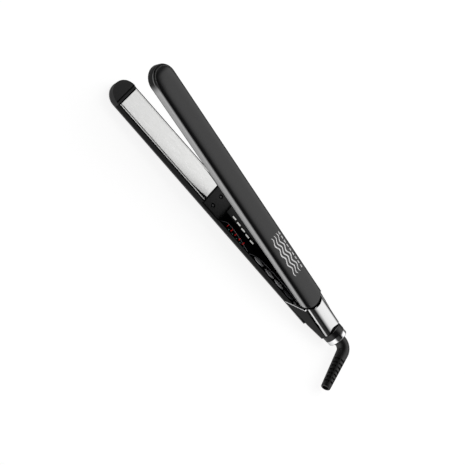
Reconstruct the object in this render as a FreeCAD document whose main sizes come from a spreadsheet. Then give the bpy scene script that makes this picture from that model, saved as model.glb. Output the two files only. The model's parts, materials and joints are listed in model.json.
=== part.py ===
# Slim hair straightener with two hinged arms, floating heating plates,
# a control panel inside the handle and a swivelling strain relief.
# X runs from the tips to the cord end, -Y is the button side and Z is up.
# Lengths along X are written from the tips, and every sub-part is then moved
# back by rest_from_tip, so that the origin lies under the middle of the arm.
import FreeCAD, Part
import math
import os
import re

import Sketcher

V = FreeCAD.Vector

# Driving dimensions in millimetres and degrees
SIZES = {
    # both arms, closed
    "rest_from_tip": 150, "arm_half": 14, "closed_height": 22.7, "shoulder": 5,
    "skin": 1.8, "wall": 1.8, "rim_wall": 0.95, "seam_gap": 0.1,
    "parting_front": 12.5, "parting_slope": 0.71,
    # lower casing
    "lower_end": 296, "lower_seam": 5.4, "lower_inner_fillet": 3,
    # upper casing
    "upper_end": 287, "upper_end_bulge": 8.5,
    "lid_depth": 1.5, "lid_skin": 1.6, "lip_depth": 3, "lip_wall": 1.1,
    "band_gap": 0.12, "band_ledge": 3.2, "band_ledge_wall": 2.7,
    "cut_x": 276.8, "cut_z": 17.9, "cut_angle": 52.1,
    # heating plates
    "plate_front": 17.2, "plate_length": 120, "plate_width": 25.4, "plate_flat": 22.7,
    "rim_drop": 1.2, "plate_base": 1.6, "plate_edge": 0.4, "contact_gap": 0.12,
    "float_travel": 0.8, "tab_length": 1.3, "tab_width": 16, "tab_thick": 0.9,
    "heater_margin": 18, "heater_width": 14, "heater_thick": 2.2,
    "fuse_length": 8, "fuse_from_rear": 12,
    "clip_wall": 0.6, "pad_radius": 3, "pad_hole": 1.6, "pad_spacing": 64,
    # frames around the plates
    "bay_gap": 0.8, "frame_drop": 1.5, "cross_wall": 1.8, "handle_drop": 5.3,
    "frame_wall": 1.4, "cap_drop": 0.6, "face_drop": 2, "face_thick": 1.2,
    # screw block behind each plate
    "block_length": 15, "block_drop": 5, "block_thick": 3.6, "band_length": 7.2,
    "band_drop": 6.6, "screw_from_block": 8.6, "screw_half_spacing": 6.7,
    "screw_head": 2.2, "screw_shank": 1.1, "screw_recess": 0.4,
    # control panel
    "panel_length": 109, "panel_top_drop": 2, "panel_edge_drop": 4.3,
    "panel_flat_half": 9.2, "bevel_mid_y": 11.6, "bevel_mid_drop": 3.15, "bevel_angle": 25.8,
    "led_first": 9.7, "led_pitch": 7.07, "led_length": 4.7, "led_width": 1.5,
    "led_slant": 0.9, "led_count": 5,
    "button_one": 52.8, "button_two": 36.8, "button_three": 23, "button_four": 9,
    "button_half": 6.3, "button_sag": 1.35, "button_proud": 0.5, "button_gap": 0.25,
    "button_travel": 0.6, "flange_half": 2.2, "flange_depth": 3.45, "stem_radius": 1,
    "board_gap": 3.4, "board_length": 92, "board_width": 20, "board_thick": 1.2,
    "board_floor": 2.5, "key_board_length": 58, "key_board_width": 5,
    # hinge and tail
    "hinge_x": 299, "hinge_z": 11, "open_angle": 11.4, "pin_radius": 2, "pin_gap": 0.05,
    "cheek_front": 262, "cheek_foot": 266.2, "cheek_peak": 282.8,
    "cheek_peak_z": 20.6, "cheek_inner": 12.1, "trim_width": 1.1, "trim_proud": 0.12,
    "tail_end": 319.6, "tail_bottom": 1.6, "tail_half": 11.2, "tail_fillet": 6,
    "tail_pinch": 300, "tail_pinch_half": 13.3, "tail_rear_z": 12.9, "shelf_front": 300,
    "shelf_front_z": 16.6, "tail_floor": 4.9,
    "knuckle_radius": 4.6, "lobe_inner": 4.7, "lobe_outer": 9.6,
    "spring_radius": 3.6, "spring_wire": 0.5, "spring_leg": 9, "spring_coil_half": 3.4,
    "cap_half": 11.75, "cap_end": 317.4, "cap_end_half": 10.9, "cap_bottom": 17,
    "cap_top": 22.3, "cap_wall": 1.3, "cap_round": 2.6,
    # swivel and strain relief
    "axis_z": 11.35, "collar_length": 6, "collar_wall": 1.2, "collar_rear": 10.9,
    "lead_hole": 2.2, "lead_radius": 0.8, "lead_height": 3.9,
    "ring_length": 5.4, "ring_radius": 10.6, "swivel_gap": 0.08, "neck_radius": 5.2,
    "flange_radius": 7.2, "flange_thick": 2, "disc_thick": 0.9,
    "elbow_radius": 6.3, "bend_radius": 9.5,
    "bend_angle": 79, "elbow_lead": 3, "sleeve_length": 42, "sleeve_end_radius": 4.8,
    "cord_bore": 3.2, "cord_bore_depth": 14,
}

doc = FreeCAD.newDocument("HairStraightener")
sheet = doc.addObject("Spreadsheet::Sheet", "Dims")
for row, (alias, number) in enumerate(SIZES.items(), 1):
    sheet.set(f"A{row}", alias)
    sheet.set(f"B{row}", str(number))
    sheet.setAlias(f"B{row}", alias)
doc.recompute()

SUB_PARTS = []


def cells(text):
    """Turn cell names in a formula into references to the sheet."""
    return re.sub(r"\b([a-z]+_[a-z_]+|skin|wall|shoulder)\b", r"Dims.\1", str(text))


def number(text):
    """The present value of a formula."""
    return float(sheet.evalExpression(cells(text)))


def bind(thing, path, text):
    thing.setExpression(path, cells(text))


# --- placing the sub-parts -------------------------------------------------

TURN = "(open_angle * 1 deg)"


def place(thing, frame):
    """Put a sub-part in the row frame: 'lower' and 'upper' are drawn level and closed,
    'lower_plane' and 'upper_plane' are drawn on the sloping plane where the arms meet."""
    on_plane = frame.endswith("plane")
    height = "parting_front" if on_plane else "0"
    if frame.startswith("lower"):
        axis = V(0, -1, 0)
        angle = "parting_slope" if on_plane else "0"
        base_x = "-rest_from_tip"
        base_z = height
    else:
        axis = V(0, 1, 0)
        angle = "open_angle - parting_slope" if on_plane else "open_angle"
        base_x = f"hinge_x - hinge_x * cos{TURN} + ({height} - hinge_z) * sin{TURN} - rest_from_tip"
        base_z = f"hinge_z + hinge_x * sin{TURN} + ({height} - hinge_z) * cos{TURN}"
    thing.Placement = FreeCAD.Placement(V(0, 0, 0), FreeCAD.Rotation(axis, 1))
    bind(thing, "Placement.Rotation.Angle", angle)
    bind(thing, "Placement.Base.x", base_x)
    bind(thing, "Placement.Base.z", base_z)
    SUB_PARTS.append(thing)


def body(label, frame):
    thing = doc.addObject("PartDesign::Body", label)
    thing.Label = label
    thing.AllowCompound = True
    place(thing, frame)
    return thing


# --- sketches ---------------------------------------------------------------


def sketch_on(owner, plane, offset="0"):
    drawing = owner.newObject("Sketcher::SketchObject", "Sketch")
    support = [item for item in owner.Origin.OriginFeatures if item.Role == plane][0]
    drawing.AttachmentSupport = [(support, "")]
    drawing.MapMode = "FlatFace"
    bind(drawing, "AttachmentOffset.Base.z", offset)
    return drawing


def bevel_sketch(owner, depth="0"):
    """A sketch on the panel's front bevel; its depth runs inward from the surface."""
    drawing = sketch_on(owner, "XY_Plane")
    drawing.AttachmentOffset = FreeCAD.Placement(V(0, 0, 0), FreeCAD.Rotation(V(1, 0, 0), 1))
    slope = "(bevel_angle * 1 deg)"
    bind(drawing, "AttachmentOffset.Rotation.Angle", "bevel_angle")
    bind(drawing, "AttachmentOffset.Base.y", f"-bevel_mid_y + ({depth}) * sin{slope}")
    bind(drawing, "AttachmentOffset.Base.z", f"-bevel_mid_drop - ({depth}) * cos{slope}")
    return drawing


def end_near(drawing, geometry, spot):
    """Which end of a line or arc, 1 or 2, lies at a spot."""
    first = (drawing.getPoint(geometry, 1) - spot).Length
    second = (drawing.getPoint(geometry, 2) - spot).Length
    return 1 if first < second else 2


def pin(drawing, geometry, end, x, y):
    for kind, text in (("DistanceX", x), ("DistanceY", y)):
        rule = Sketcher.Constraint(kind, -1, 1, geometry, end, number(text))
        bind(drawing, f"Constraints[{drawing.addConstraint(rule)}]", text)


def outline(drawing, points, arcs=None):
    """A closed outline through points given as formulas. arcs[i] = (radius, side) makes the
    stretch from point i an arc, bulging to the left (+1) or right (-1) of its chord."""
    arcs = arcs or {}
    first = drawing.GeometryCount
    spots = [V(number(x), number(y), 0) for x, y in points]
    for index, start in enumerate(spots):
        stop = spots[(index + 1) % len(spots)]
        if index not in arcs:
            drawing.addGeometry(Part.LineSegment(start, stop), False)
            continue
        radius, side = arcs[index]
        chord = stop - start
        sag = number(radius) - math.sqrt(number(radius) ** 2 - chord.Length ** 2 / 4)
        left = V(-chord.y, chord.x, 0).normalize()
        middle = (start + stop) / 2 + left * side * sag
        drawing.addGeometry(Part.Arc(start, middle, stop), False)
    for index, spot in enumerate(spots):
        this = first + index
        before = first + (index - 1) % len(spots)
        here = end_near(drawing, this, spot)
        there = end_near(drawing, before, spot)
        drawing.addConstraint(Sketcher.Constraint("Coincident", before, there, this, here))
        pin(drawing, this, here, *points[index])
    for index, (radius, _) in arcs.items():
        rule = Sketcher.Constraint("Radius", first + index, number(radius))
        bind(drawing, f"Constraints[{drawing.addConstraint(rule)}]", radius)


def rectangle(drawing, x0, x1, y0, y1):
    outline(drawing, [(x0, y0), (x1, y0), (x1, y1), (x0, y1)])


def circle(drawing, x, y, radius):
    spot = V(number(x), number(y), 0)
    geometry = drawing.addGeometry(Part.Circle(spot, V(0, 0, 1), number(radius)), False)
    pin(drawing, geometry, 3, x, y)
    rule = Sketcher.Constraint("Radius", geometry, number(radius))
    bind(drawing, f"Constraints[{drawing.addConstraint(rule)}]", radius)


def lens(drawing, middle, half, sag):
    """A leaf shape: two arcs that meet in points."""
    radius = f"(({half})^2 + ({sag})^2) / (2 * ({sag}))"
    tips = [(f"{middle} - ({half})", "0"), (f"{middle} + ({half})", "0")]
    outline(drawing, tips, {0: (radius, -1), 1: (radius, -1)})


def nose_outline(drawing, half, rear, rear_radius=None, rear_bulge="0"):
    """The plan of an arm: a round tip, straight sides and a square or bowed rear end."""
    points = [
        ("arm_half", half),
        (f"arm_half - ({half})", "0"),
        ("arm_half", f"-({half})"),
        (f"{rear} - ({rear_bulge})", f"-({half})"),
        (f"{rear} - ({rear_bulge})", half),
    ]
    arcs = {0: (half, -1), 1: (half, -1)}
    if rear_radius:
        arcs[3] = (rear_radius, -1)
    outline(drawing, points, arcs)


# --- features ---------------------------------------------------------------


def volume(feature):
    doc.recompute()
    return feature.Shape.Volume


def pad(owner, drawing, length, down=False, both=False):
    feature = owner.newObject("PartDesign::Pad", "Pad")
    feature.Profile = drawing
    feature.Reversed = down
    if both:
        feature.SideType = "Symmetric"
    bind(feature, "Length", length)
    volume(feature)
    return feature


def pocket(owner, drawing, length, up=False, both=False):
    """Cut against the sketch's normal, or along it with up; the cut must remove something."""
    before = volume(owner)
    feature = owner.newObject("PartDesign::Pocket", "Pocket")
    feature.Profile = drawing
    feature.Reversed = up
    if both:
        feature.SideType = "Symmetric"
    bind(feature, "Length", length)
    if volume(owner) > before - 0.001:
        raise RuntimeError(f"{owner.Label}: a pocket cuts nothing")
    return feature


def fillet(owner, radius, chosen):
    """Round the edges that a test picks by their lowest and highest corners."""
    doc.recompute()
    base = owner.Tip
    names = []
    for index, edge in enumerate(base.Shape.Edges, 1):
        if chosen(edge.BoundBox):
            names.append(f"Edge{index}")
    if not names:
        raise RuntimeError(f"{owner.Label}: no edge to round")
    feature = owner.newObject("PartDesign::Fillet", "Fillet")
    feature.Base = (base, names)
    bind(feature, "Radius", radius)
    owner.Tip = feature
    doc.recompute()
    return feature


def revolve(owner, drawing):
    """Turn a sketch about the tail's axis, which is the sketch's own X axis."""
    feature = owner.newObject("PartDesign::Revolution", "Revolution")
    feature.Profile = drawing
    feature.ReferenceAxis = (drawing, ["H_Axis"])
    feature.Angle = 360
    doc.recompute()
    return feature


def axis_sketch(owner):
    """A sketch in the XZ plane whose X axis is the tail's axis."""
    drawing = sketch_on(owner, "XZ_Plane")
    bind(drawing, "AttachmentOffset.Base.y", "axis_z")
    return drawing


def box(x0, x1, y0, y1, z0, z1):
    solid = doc.addObject("Part::Box", "Box")
    for side, low, high in (("Length", x0, x1), ("Width", y0, y1), ("Height", z0, z1)):
        bind(solid, side, f"({high}) - ({low})")
    for axis, low in (("x", x0), ("y", y0), ("z", z0)):
        bind(solid, f"Placement.Base.{axis}", low)
    return solid


def rod(x, y, z, radius, length, direction):
    solid = doc.addObject("Part::Cylinder", "Rod")
    solid.Placement = FreeCAD.Placement(V(0, 0, 0), FreeCAD.Rotation(V(0, 0, 1), direction))
    bind(solid, "Radius", radius)
    bind(solid, "Height", length)
    for axis, low in (("x", x), ("y", y), ("z", z)):
        bind(solid, f"Placement.Base.{axis}", low)
    return solid


def group(label, frame, solids):
    """One node made of several separate solids."""
    thing = doc.addObject("Part::Compound", label)
    thing.Label = label
    thing.Links = solids
    place(thing, frame)
    return thing


def difference(base, tool):
    cut = doc.addObject("Part::Cut", "Cut")
    cut.Base = base
    cut.Tool = tool
    return cut


def near(first, second):
    return abs(first - second) < 0.01


# --- shared places ----------------------------------------------------------

PLATE_REAR = "(plate_front + plate_length)"
BAY_REAR = f"({PLATE_REAR} + bay_gap)"
BAY_FRONT = "(plate_front - bay_gap)"
BLOCK_FRONT = f"({BAY_REAR} + cross_wall)"
BLOCK_REAR = f"({BLOCK_FRONT} + block_length)"
PANEL_FRONT = f"({BLOCK_REAR} + band_length)"
PANEL_REAR = f"({PANEL_FRONT} + panel_length)"
BAY_HALF = "(arm_half - rim_wall)"
HANDLE_HALF = "(arm_half - frame_wall)"
RUN = "(tan(parting_slope * 1 deg))"
BUTTONS = [f"({PANEL_REAR} - button_{count})" for count in ("one", "two", "three", "four")]
TALL = "closed_height"


def parting_z(x):
    return f"(parting_front + ({x}) * {RUN})"


END_RADIUS = "((arm_half^2 + upper_end_bulge^2) / (2 * upper_end_bulge))"
CHEEK_RISE = "((cheek_peak_z - lower_seam) / (cheek_peak - cheek_foot))"
CUT_RISE = "(tan(cut_angle * 1 deg))"


# --- casings ----------------------------------------------------------------


def make_lower_cover():
    cover = body("lower_cover", "lower")
    drawing = sketch_on(cover, "XY_Plane")
    nose_outline(drawing, "arm_half", "lower_end")
    pad(cover, drawing, "lower_seam")
    rear = number("lower_end")
    fillet(cover, "shoulder", lambda b: near(b.ZMax, 0) and b.XMin < rear - 1)
    cavity = sketch_on(cover, "XY_Plane", "lower_seam")
    nose_outline(cavity, "arm_half - wall", "lower_end - 12")
    pocket(cover, cavity, "lower_seam - skin")
    floor = number("skin")
    back = number("lower_end - 12")
    fillet(
        cover,
        "lower_inner_fillet",
        lambda b: near(b.ZMin, floor) and near(b.ZMax, floor) and b.XMin < back - 1,
    )
    channel = sketch_on(cover, "XY_Plane", "lower_seam")
    rectangle(channel, "lower_end - 13", "lower_end + 1", "-cheek_inner + 1.2", "cheek_inner - 1.2")
    pocket(cover, channel, "lower_seam - skin")


def make_upper_cover():
    lid = body("upper_cover", "upper")
    drawing = sketch_on(lid, "XY_Plane", f"{TALL} - lower_seam")
    nose_outline(drawing, "arm_half", "upper_end", END_RADIUS, "upper_end_bulge")
    pad(lid, drawing, "lower_seam")
    top = number(TALL)
    fillet(lid, "shoulder", lambda b: near(b.ZMin, top))
    skirt = sketch_on(lid, "XY_Plane", f"{TALL} - lower_seam - 0.1")
    rectangle(skirt, "-5", "upper_end + 5", "-arm_half - 5", "arm_half + 5")
    nose_outline(skirt, "arm_half - band_ledge_wall - seam_gap", "upper_end - 12")
    pocket(lid, skirt, "lower_seam + 0.1 - lid_depth", up=True)
    cavity = sketch_on(lid, "XY_Plane", f"{TALL} - lower_seam - 0.1")
    half = "arm_half - band_ledge_wall - seam_gap - lip_wall"
    nose_outline(cavity, half, "upper_end - 13.2")
    pocket(lid, cavity, "lower_seam + 0.1 - lid_skin", up=True)
    trim = sketch_on(lid, "XY_Plane", f"{TALL} - lower_seam - 0.1")
    rectangle(trim, "-5", "upper_end + 5", "-arm_half", "arm_half")
    pocket(lid, trim, "lower_seam + 0.1 - lip_depth", up=True)


def make_upper_band():
    band = body("upper_side_band", "upper")
    floor = "(parting_front - 1)"
    drawing = sketch_on(band, "XY_Plane", floor)
    nose_outline(drawing, "arm_half", "upper_end")
    pad(band, drawing, f"{TALL} - {floor}")
    top = number(TALL)
    rear = number("upper_end")
    fillet(band, "shoulder", lambda b: near(b.ZMin, top) and b.XMin < rear - 1)
    slab = sketch_on(band, "XY_Plane", f"{TALL} + 1")
    rectangle(slab, "-5", "upper_end + 5", "-arm_half - 1", "arm_half + 1")
    pocket(band, slab, "lid_depth + 1 + 0.02")
    narrow = sketch_on(band, "XY_Plane", f"{TALL} + 1")
    nose_outline(narrow, "arm_half - band_ledge_wall", "upper_end + 5")
    pocket(band, narrow, f"{TALL} + 2 - {floor}")
    wide = sketch_on(band, "XY_Plane", f"{floor} - 1")
    nose_outline(wide, "arm_half - rim_wall", "upper_end + 5")
    pocket(band, wide, f"{TALL} - band_ledge - {floor} + 1", up=True)
    # the lower edge follows the parting plane, then rises beside the cheeks
    side = sketch_on(band, "XZ_Plane")
    foot = f"(cut_x + (parting_front + band_gap - cut_z) / {CUT_RISE})"
    turn_x = f"({foot} / (1 - {RUN} / {CUT_RISE}))"
    outline(
        side,
        [
            ("-5", "0"),
            ("upper_end + 9", "0"),
            ("upper_end + 9", "closed_height + 3"),
            (f"cut_x + (closed_height + 3 - cut_z) / {CUT_RISE}", "closed_height + 3"),
            (turn_x, f"({parting_z(turn_x)} + band_gap)"),
            ("-5", f"({parting_z('-5')} + band_gap)"),
        ],
    )
    pocket(band, side, "4 * arm_half", both=True)


def make_lower_frame():
    """Side walls round the plate's bay and along the handle."""
    part = body("lower_frame", "lower")
    drawing = sketch_on(part, "XY_Plane", "lower_seam + 0.02")
    rectangle(drawing, BAY_FRONT, "cheek_peak", "-arm_half", "arm_half")
    pad(part, drawing, "closed_height - lower_seam")
    profile = sketch_on(part, "XZ_Plane")
    step = f"({BAY_REAR} + 0.4)"
    foot = f"(parting_front - handle_drop - lower_seam + cheek_foot * {CHEEK_RISE})"
    turn_x = f"({foot} / ({CHEEK_RISE} - {RUN}))"
    outline(
        profile,
        [
            ("0", f"{parting_z('0')} - frame_drop"),
            (step, f"{parting_z(step)} - frame_drop"),
            (step, f"{parting_z(step)} - handle_drop"),
            (turn_x, f"{parting_z(turn_x)} - handle_drop"),
            ("cheek_foot", "lower_seam"),
            ("cheek_foot", "0"),
            ("cheek_peak + 9", "0"),
            ("cheek_peak + 9", "2 * closed_height"),
            ("0", "2 * closed_height"),
        ],
    )
    pocket(part, profile, "4 * arm_half", both=True)
    bay = sketch_on(part, "XY_Plane", "lower_seam - 1")
    rectangle(bay, f"{BAY_FRONT} - 1", BAY_REAR, f"-{BAY_HALF}", BAY_HALF)
    pocket(part, bay, TALL, up=True)
    handle = sketch_on(part, "XY_Plane", "lower_seam - 1")
    rectangle(handle, BLOCK_FRONT, "cheek_peak + 5", f"-{HANDLE_HALF}", HANDLE_HALF)
    pocket(part, handle, TALL, up=True)
    slot = sketch_on(part, "XZ_Plane")
    tab_top = f"({parting_z(BAY_REAR)} - rim_drop - 0.7)"
    rectangle(slot, f"{BAY_REAR} - 1", f"{PLATE_REAR} + tab_length + 0.1",
              f"{tab_top} - tab_thick - float_travel - 0.3", f"{tab_top} + 0.2")
    pocket(part, slot, "tab_width + 1", both=True)


def make_upper_frame():
    """The inner face of the upper handle, with a rib behind the plate."""
    part = body("upper_frame", "upper_plane")
    drawing = sketch_on(part, "XY_Plane", "face_drop")
    edge = f"({BAY_HALF} - 0.1)"
    rectangle(drawing, f"{BAY_REAR} + 0.1", PANEL_REAR, f"-{edge}", edge)
    pad(part, drawing, "face_thick")
    ribs = sketch_on(part, "XY_Plane", "face_drop + face_thick - 0.1")
    rectangle(ribs, f"{BAY_REAR} + 0.1", f"{BAY_REAR} + 2", "-8", "8")
    pad(part, ribs, "1.8")
    well = sketch_on(part, "XY_Plane", "face_drop - 1")
    rectangle(well, f"{BLOCK_FRONT} + 0.2", f"{BLOCK_REAR} + 0.2", "-10.2", "10.2")
    pocket(part, well, "1 + face_thick + 0.1", up=True)
    slot = sketch_on(part, "XZ_Plane")
    rectangle(slot, f"{BAY_REAR} - 1", f"{PLATE_REAR} + tab_length + 0.1", "rim_drop + 0.5",
              "rim_drop + 0.7 + tab_thick + float_travel + 0.3")
    pocket(part, slot, "tab_width + 1", both=True)


def make_tip_cap(label, frame, sign):
    cap = body(label, frame)
    inner = "arm_half - wall - seam_gap"
    if sign < 0:
        drawing = sketch_on(cap, "XY_Plane", "lower_seam + 0.02")
        nose_outline(drawing, "arm_half", f"{BAY_FRONT} - 0.1")
        pad(cap, drawing, "closed_height / 2")
        base = "lower_seam"
        slab = sketch_on(cap, "XZ_Plane")
        end = "(plate_front + 5)"
        outline(
            slab,
            [
                ("-5", f"{parting_z('-5')} - cap_drop"),
                (end, f"{parting_z(end)} - cap_drop"),
                (end, "2 * closed_height"),
                ("-5", "2 * closed_height"),
            ],
        )
        pocket(cap, slab, "4 * arm_half", both=True)
        hollow = sketch_on(cap, "XY_Plane", f"{base} - 1")
        nose_outline(hollow, inner, f"{BAY_FRONT} - 1.4")
        pocket(cap, hollow, "3.8", up=True)
        step = sketch_on(cap, "XY_Plane", "closed_height")
        rectangle(step, f"{BAY_FRONT} - 2.2", f"{BAY_FRONT} + 1", "-arm_half", "arm_half")
        pocket(cap, step, f"closed_height - {parting_z('plate_front')} + 1.3")
        slot = sketch_on(cap, "XZ_Plane")
        tab_top = f"({parting_z('plate_front')} - rim_drop - 0.7)"
        rectangle(slot, f"{BAY_FRONT} - tab_length", f"{BAY_FRONT} + 1",
                  f"{tab_top} - tab_thick - float_travel - 0.3", f"{tab_top} + 0.1")
        pocket(cap, slot, "tab_width + 1", both=True)
    else:
        drawing = sketch_on(cap, "XY_Plane", "cap_drop")
        nose_outline(drawing, "arm_half - rim_wall - 0.1", f"{BAY_FRONT} - 0.1")
        pad(cap, drawing, "4.4")
        step = sketch_on(cap, "XY_Plane", "cap_drop - 1")
        rectangle(step, f"{BAY_FRONT} - 2.2", f"{BAY_FRONT} + 1", "-arm_half", "arm_half")
        pocket(cap, step, "1.7", up=True)
        slot = sketch_on(cap, "XZ_Plane")
        rectangle(slot, f"{BAY_FRONT} - tab_length", f"{BAY_FRONT} + 1", "rim_drop + 0.6",
                  "rim_drop + 0.7 + tab_thick + float_travel + 0.3")
        pocket(cap, slot, "tab_width + 1", both=True)
    return cap


# --- heating plates ---------------------------------------------------------


def make_plate(label, frame, sign):
    """A flat-topped aluminium plate with a lower rim and a retaining tab at each end."""
    plate = body(label, frame)
    below = sign < 0
    rim = "rim_drop" if sign > 0 else "-rim_drop"
    face = "contact_gap" if sign > 0 else "-contact_gap"
    drawing = sketch_on(plate, "XY_Plane", rim)
    rectangle(drawing, "plate_front", PLATE_REAR, "-plate_width / 2", "plate_width / 2")
    pad(plate, drawing, "plate_base", down=below)
    height = number(rim)
    fillet(
        plate,
        "plate_edge",
        lambda b: near(b.ZMin, height) and near(b.ZMax, height) and b.XLength > 50,
    )
    raised = sketch_on(plate, "XY_Plane", face)
    rectangle(raised, "plate_front", PLATE_REAR, "-plate_flat / 2", "plate_flat / 2")
    pad(plate, raised, "rim_drop - contact_gap + plate_base / 2", down=below)
    tab = sketch_on(plate, "XY_Plane", f"{rim} {'+' if sign > 0 else '-'} 0.7")
    front = "plate_front - tab_length"
    rectangle(tab, front, f"{PLATE_REAR} + tab_length", "-tab_width / 2", "tab_width / 2")
    pad(plate, tab, "tab_thick", down=below)
    return plate


def make_heater(prefix, frame, sign):
    middle = "(plate_front + plate_length / 2)"
    under = "(rim_drop + plate_base + 0.02)"
    bottom = f"({under} + heater_thick)"
    low = under if sign > 0 else f"-{bottom}"
    heater = body(prefix + "_heater", frame)
    drawing = sketch_on(heater, "XY_Plane", low)
    half = "(plate_length / 2 - heater_margin)"
    rectangle(drawing, f"{middle} - {half}", f"{middle} + {half}",
              "-heater_width / 2", "heater_width / 2")
    pad(heater, drawing, "heater_thick")
    clip = body(prefix + "_heater_clip", frame)
    start = under if sign > 0 else f"-({bottom} + clip_wall)"
    channel = sketch_on(clip, "XY_Plane", start)
    wide = "(heater_width / 2 + 0.1 + clip_wall)"
    rectangle(channel, f"{middle} - {half} + 3", f"{middle} + {half} - 3", f"-{wide}", wide)
    pad(clip, channel, "heater_thick + clip_wall")
    inside = sketch_on(clip, "XY_Plane", f"{start} {'-' if sign > 0 else '+'} "
                       + ("1" if sign > 0 else "clip_wall - 0.02"))
    rectangle(inside, f"{middle} - {half}", f"{middle} + {half}",
              f"-heater_width / 2 - 0.1", "heater_width / 2 + 0.1")
    pocket(clip, inside, "heater_thick + 1.02", up=True)
    depth = f"({bottom} + clip_wall)"
    pads = body(prefix + "_plate_pads", frame)
    for side in ("-", "+"):
        spot = f"({middle} {side} pad_spacing / 2)"
        ring = sketch_on(pads, "XY_Plane", f"-{depth} - 0.02" if sign < 0 else f"{depth} + 0.02")
        circle(ring, spot, "0", "pad_radius")
        circle(ring, spot, "0", "pad_hole")
        room = f"({parting_z(spot)} - skin)"
        if sign > 0:
            room = f"(closed_height - lid_skin - {parting_z(spot)})"
        pad(pads, ring, f"{room} - {depth} - float_travel - 0.1", down=sign < 0)
    fuse = body(prefix + "_thermal_fuse", frame)
    spot = f"({PLATE_REAR} - fuse_from_rear)"
    can = sketch_on(fuse, "XY_Plane", f"-{under} - 2.4" if sign < 0 else under)
    rectangle(can, spot, f"{spot} + fuse_length", "-2", "2")
    pad(fuse, can, "2.4")
    return heater


# --- screw blocks -----------------------------------------------------------


def make_screw_block(prefix, frame, sign):
    block = body(prefix + "_screw_block", frame)
    if sign < 0:
        width = f"({HANDLE_HALF} - 0.15)"
        start = f"{BLOCK_FRONT} + 0.15"
        drawing = sketch_on(block, "XY_Plane", "-block_drop")
        rectangle(drawing, start, BLOCK_REAR, f"-{width}", width)
        pad(block, drawing, "block_thick", down=True)
        band = sketch_on(block, "XY_Plane", "-band_drop")
        rectangle(band, BLOCK_REAR, f"{PANEL_FRONT} + 1", f"-{width}", width)
        pad(block, band, "block_drop + block_thick - band_drop", down=True)
        top, cut_up = "-block_drop", False
    else:
        drawing = sketch_on(block, "XY_Plane", "1.2")
        rectangle(drawing, f"{BLOCK_FRONT} + 0.35", f"{BLOCK_REAR} + 0.05", "-10.05", "10.05")
        pad(block, drawing, "3")
        top, cut_up = "1.2", True
    wells = sketch_on(block, "XY_Plane", f"{top} {'+' if sign < 0 else '-'} 0.5")
    spot = f"{BLOCK_FRONT} + screw_from_block"
    for side in ("-", ""):
        circle(wells, spot, f"{side}screw_half_spacing", "screw_head + 0.1")
    pocket(block, wells, "0.5 + screw_recess + 1.3", up=cut_up)
    holes = sketch_on(block, "XY_Plane", f"{top} {'+' if sign < 0 else '-'} 0.5")
    for side in ("-", ""):
        circle(holes, spot, f"{side}screw_half_spacing", "screw_shank + 0.05")
    pocket(block, holes, "block_thick + 2", up=cut_up)

    screws = body(prefix + "_block_screws", frame)
    head = f"{top} {'-' if sign < 0 else '+'} screw_recess"
    heads = sketch_on(screws, "XY_Plane", head)
    for side in ("-", ""):
        circle(heads, spot, f"{side}screw_half_spacing", "screw_head")
    pad(screws, heads, "1.25", down=sign < 0)
    shanks = sketch_on(screws, "XY_Plane", head)
    for side in ("-", ""):
        circle(shanks, spot, f"{side}screw_half_spacing", "screw_shank")
    pad(screws, shanks, "block_thick" if sign < 0 else "block_thick - 0.9", down=sign < 0)
    sockets = sketch_on(screws, "XY_Plane", f"{head} {'+' if sign < 0 else '-'} 0.2")
    for side in ("-", ""):
        circle(sockets, spot, f"{side}screw_half_spacing", "0.7")
    pocket(screws, sockets, "0.9", up=cut_up)


# --- control panel ----------------------------------------------------------


def led_spot(index):
    return f"({PANEL_FRONT} + led_first + {index} * led_pitch)", f"(-{index} * led_slant)"


def make_control_panel():
    panel = body("control_panel", "lower_plane")
    profile = sketch_on(panel, "YZ_Plane", PANEL_FRONT)
    edge = "(arm_half - 0.05)"
    outline(
        profile,
        [
            (f"-{edge}", "-handle_drop + 0.05"),
            (edge, "-handle_drop + 0.05"),
            (edge, "-panel_edge_drop"),
            ("panel_flat_half", "-panel_top_drop"),
            ("-panel_flat_half", "-panel_top_drop"),
            (f"-{edge}", "-panel_edge_drop"),
        ],
    )
    pad(panel, profile, "panel_length")
    slots = sketch_on(panel, "XY_Plane", "1")
    for index in range(int(SIZES["led_count"])):
        x, y = led_spot(index)
        rectangle(slots, f"{x} - led_length / 2 - 0.03", f"{x} + led_length / 2 + 0.03",
                  f"{y} - led_width / 2 - 0.03", f"{y} + led_width / 2 + 0.03")
    pocket(panel, slots, "handle_drop + 2")
    wells = bevel_sketch(panel, "-3")
    for spot in BUTTONS:
        lens(wells, spot, "button_half + 2 * button_gap", "button_sag + button_gap")
    pocket(panel, wells, "7")

    windows = body("led_windows", "lower_plane")
    bars = sketch_on(windows, "XY_Plane", "-panel_top_drop + 0.05")
    for index in range(int(SIZES["led_count"])):
        x, y = led_spot(index)
        rectangle(bars, f"{x} - led_length / 2", f"{x} + led_length / 2",
                  f"{y} - led_width / 2", f"{y} + led_width / 2")
    pad(windows, bars, "2.5", down=True)


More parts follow.
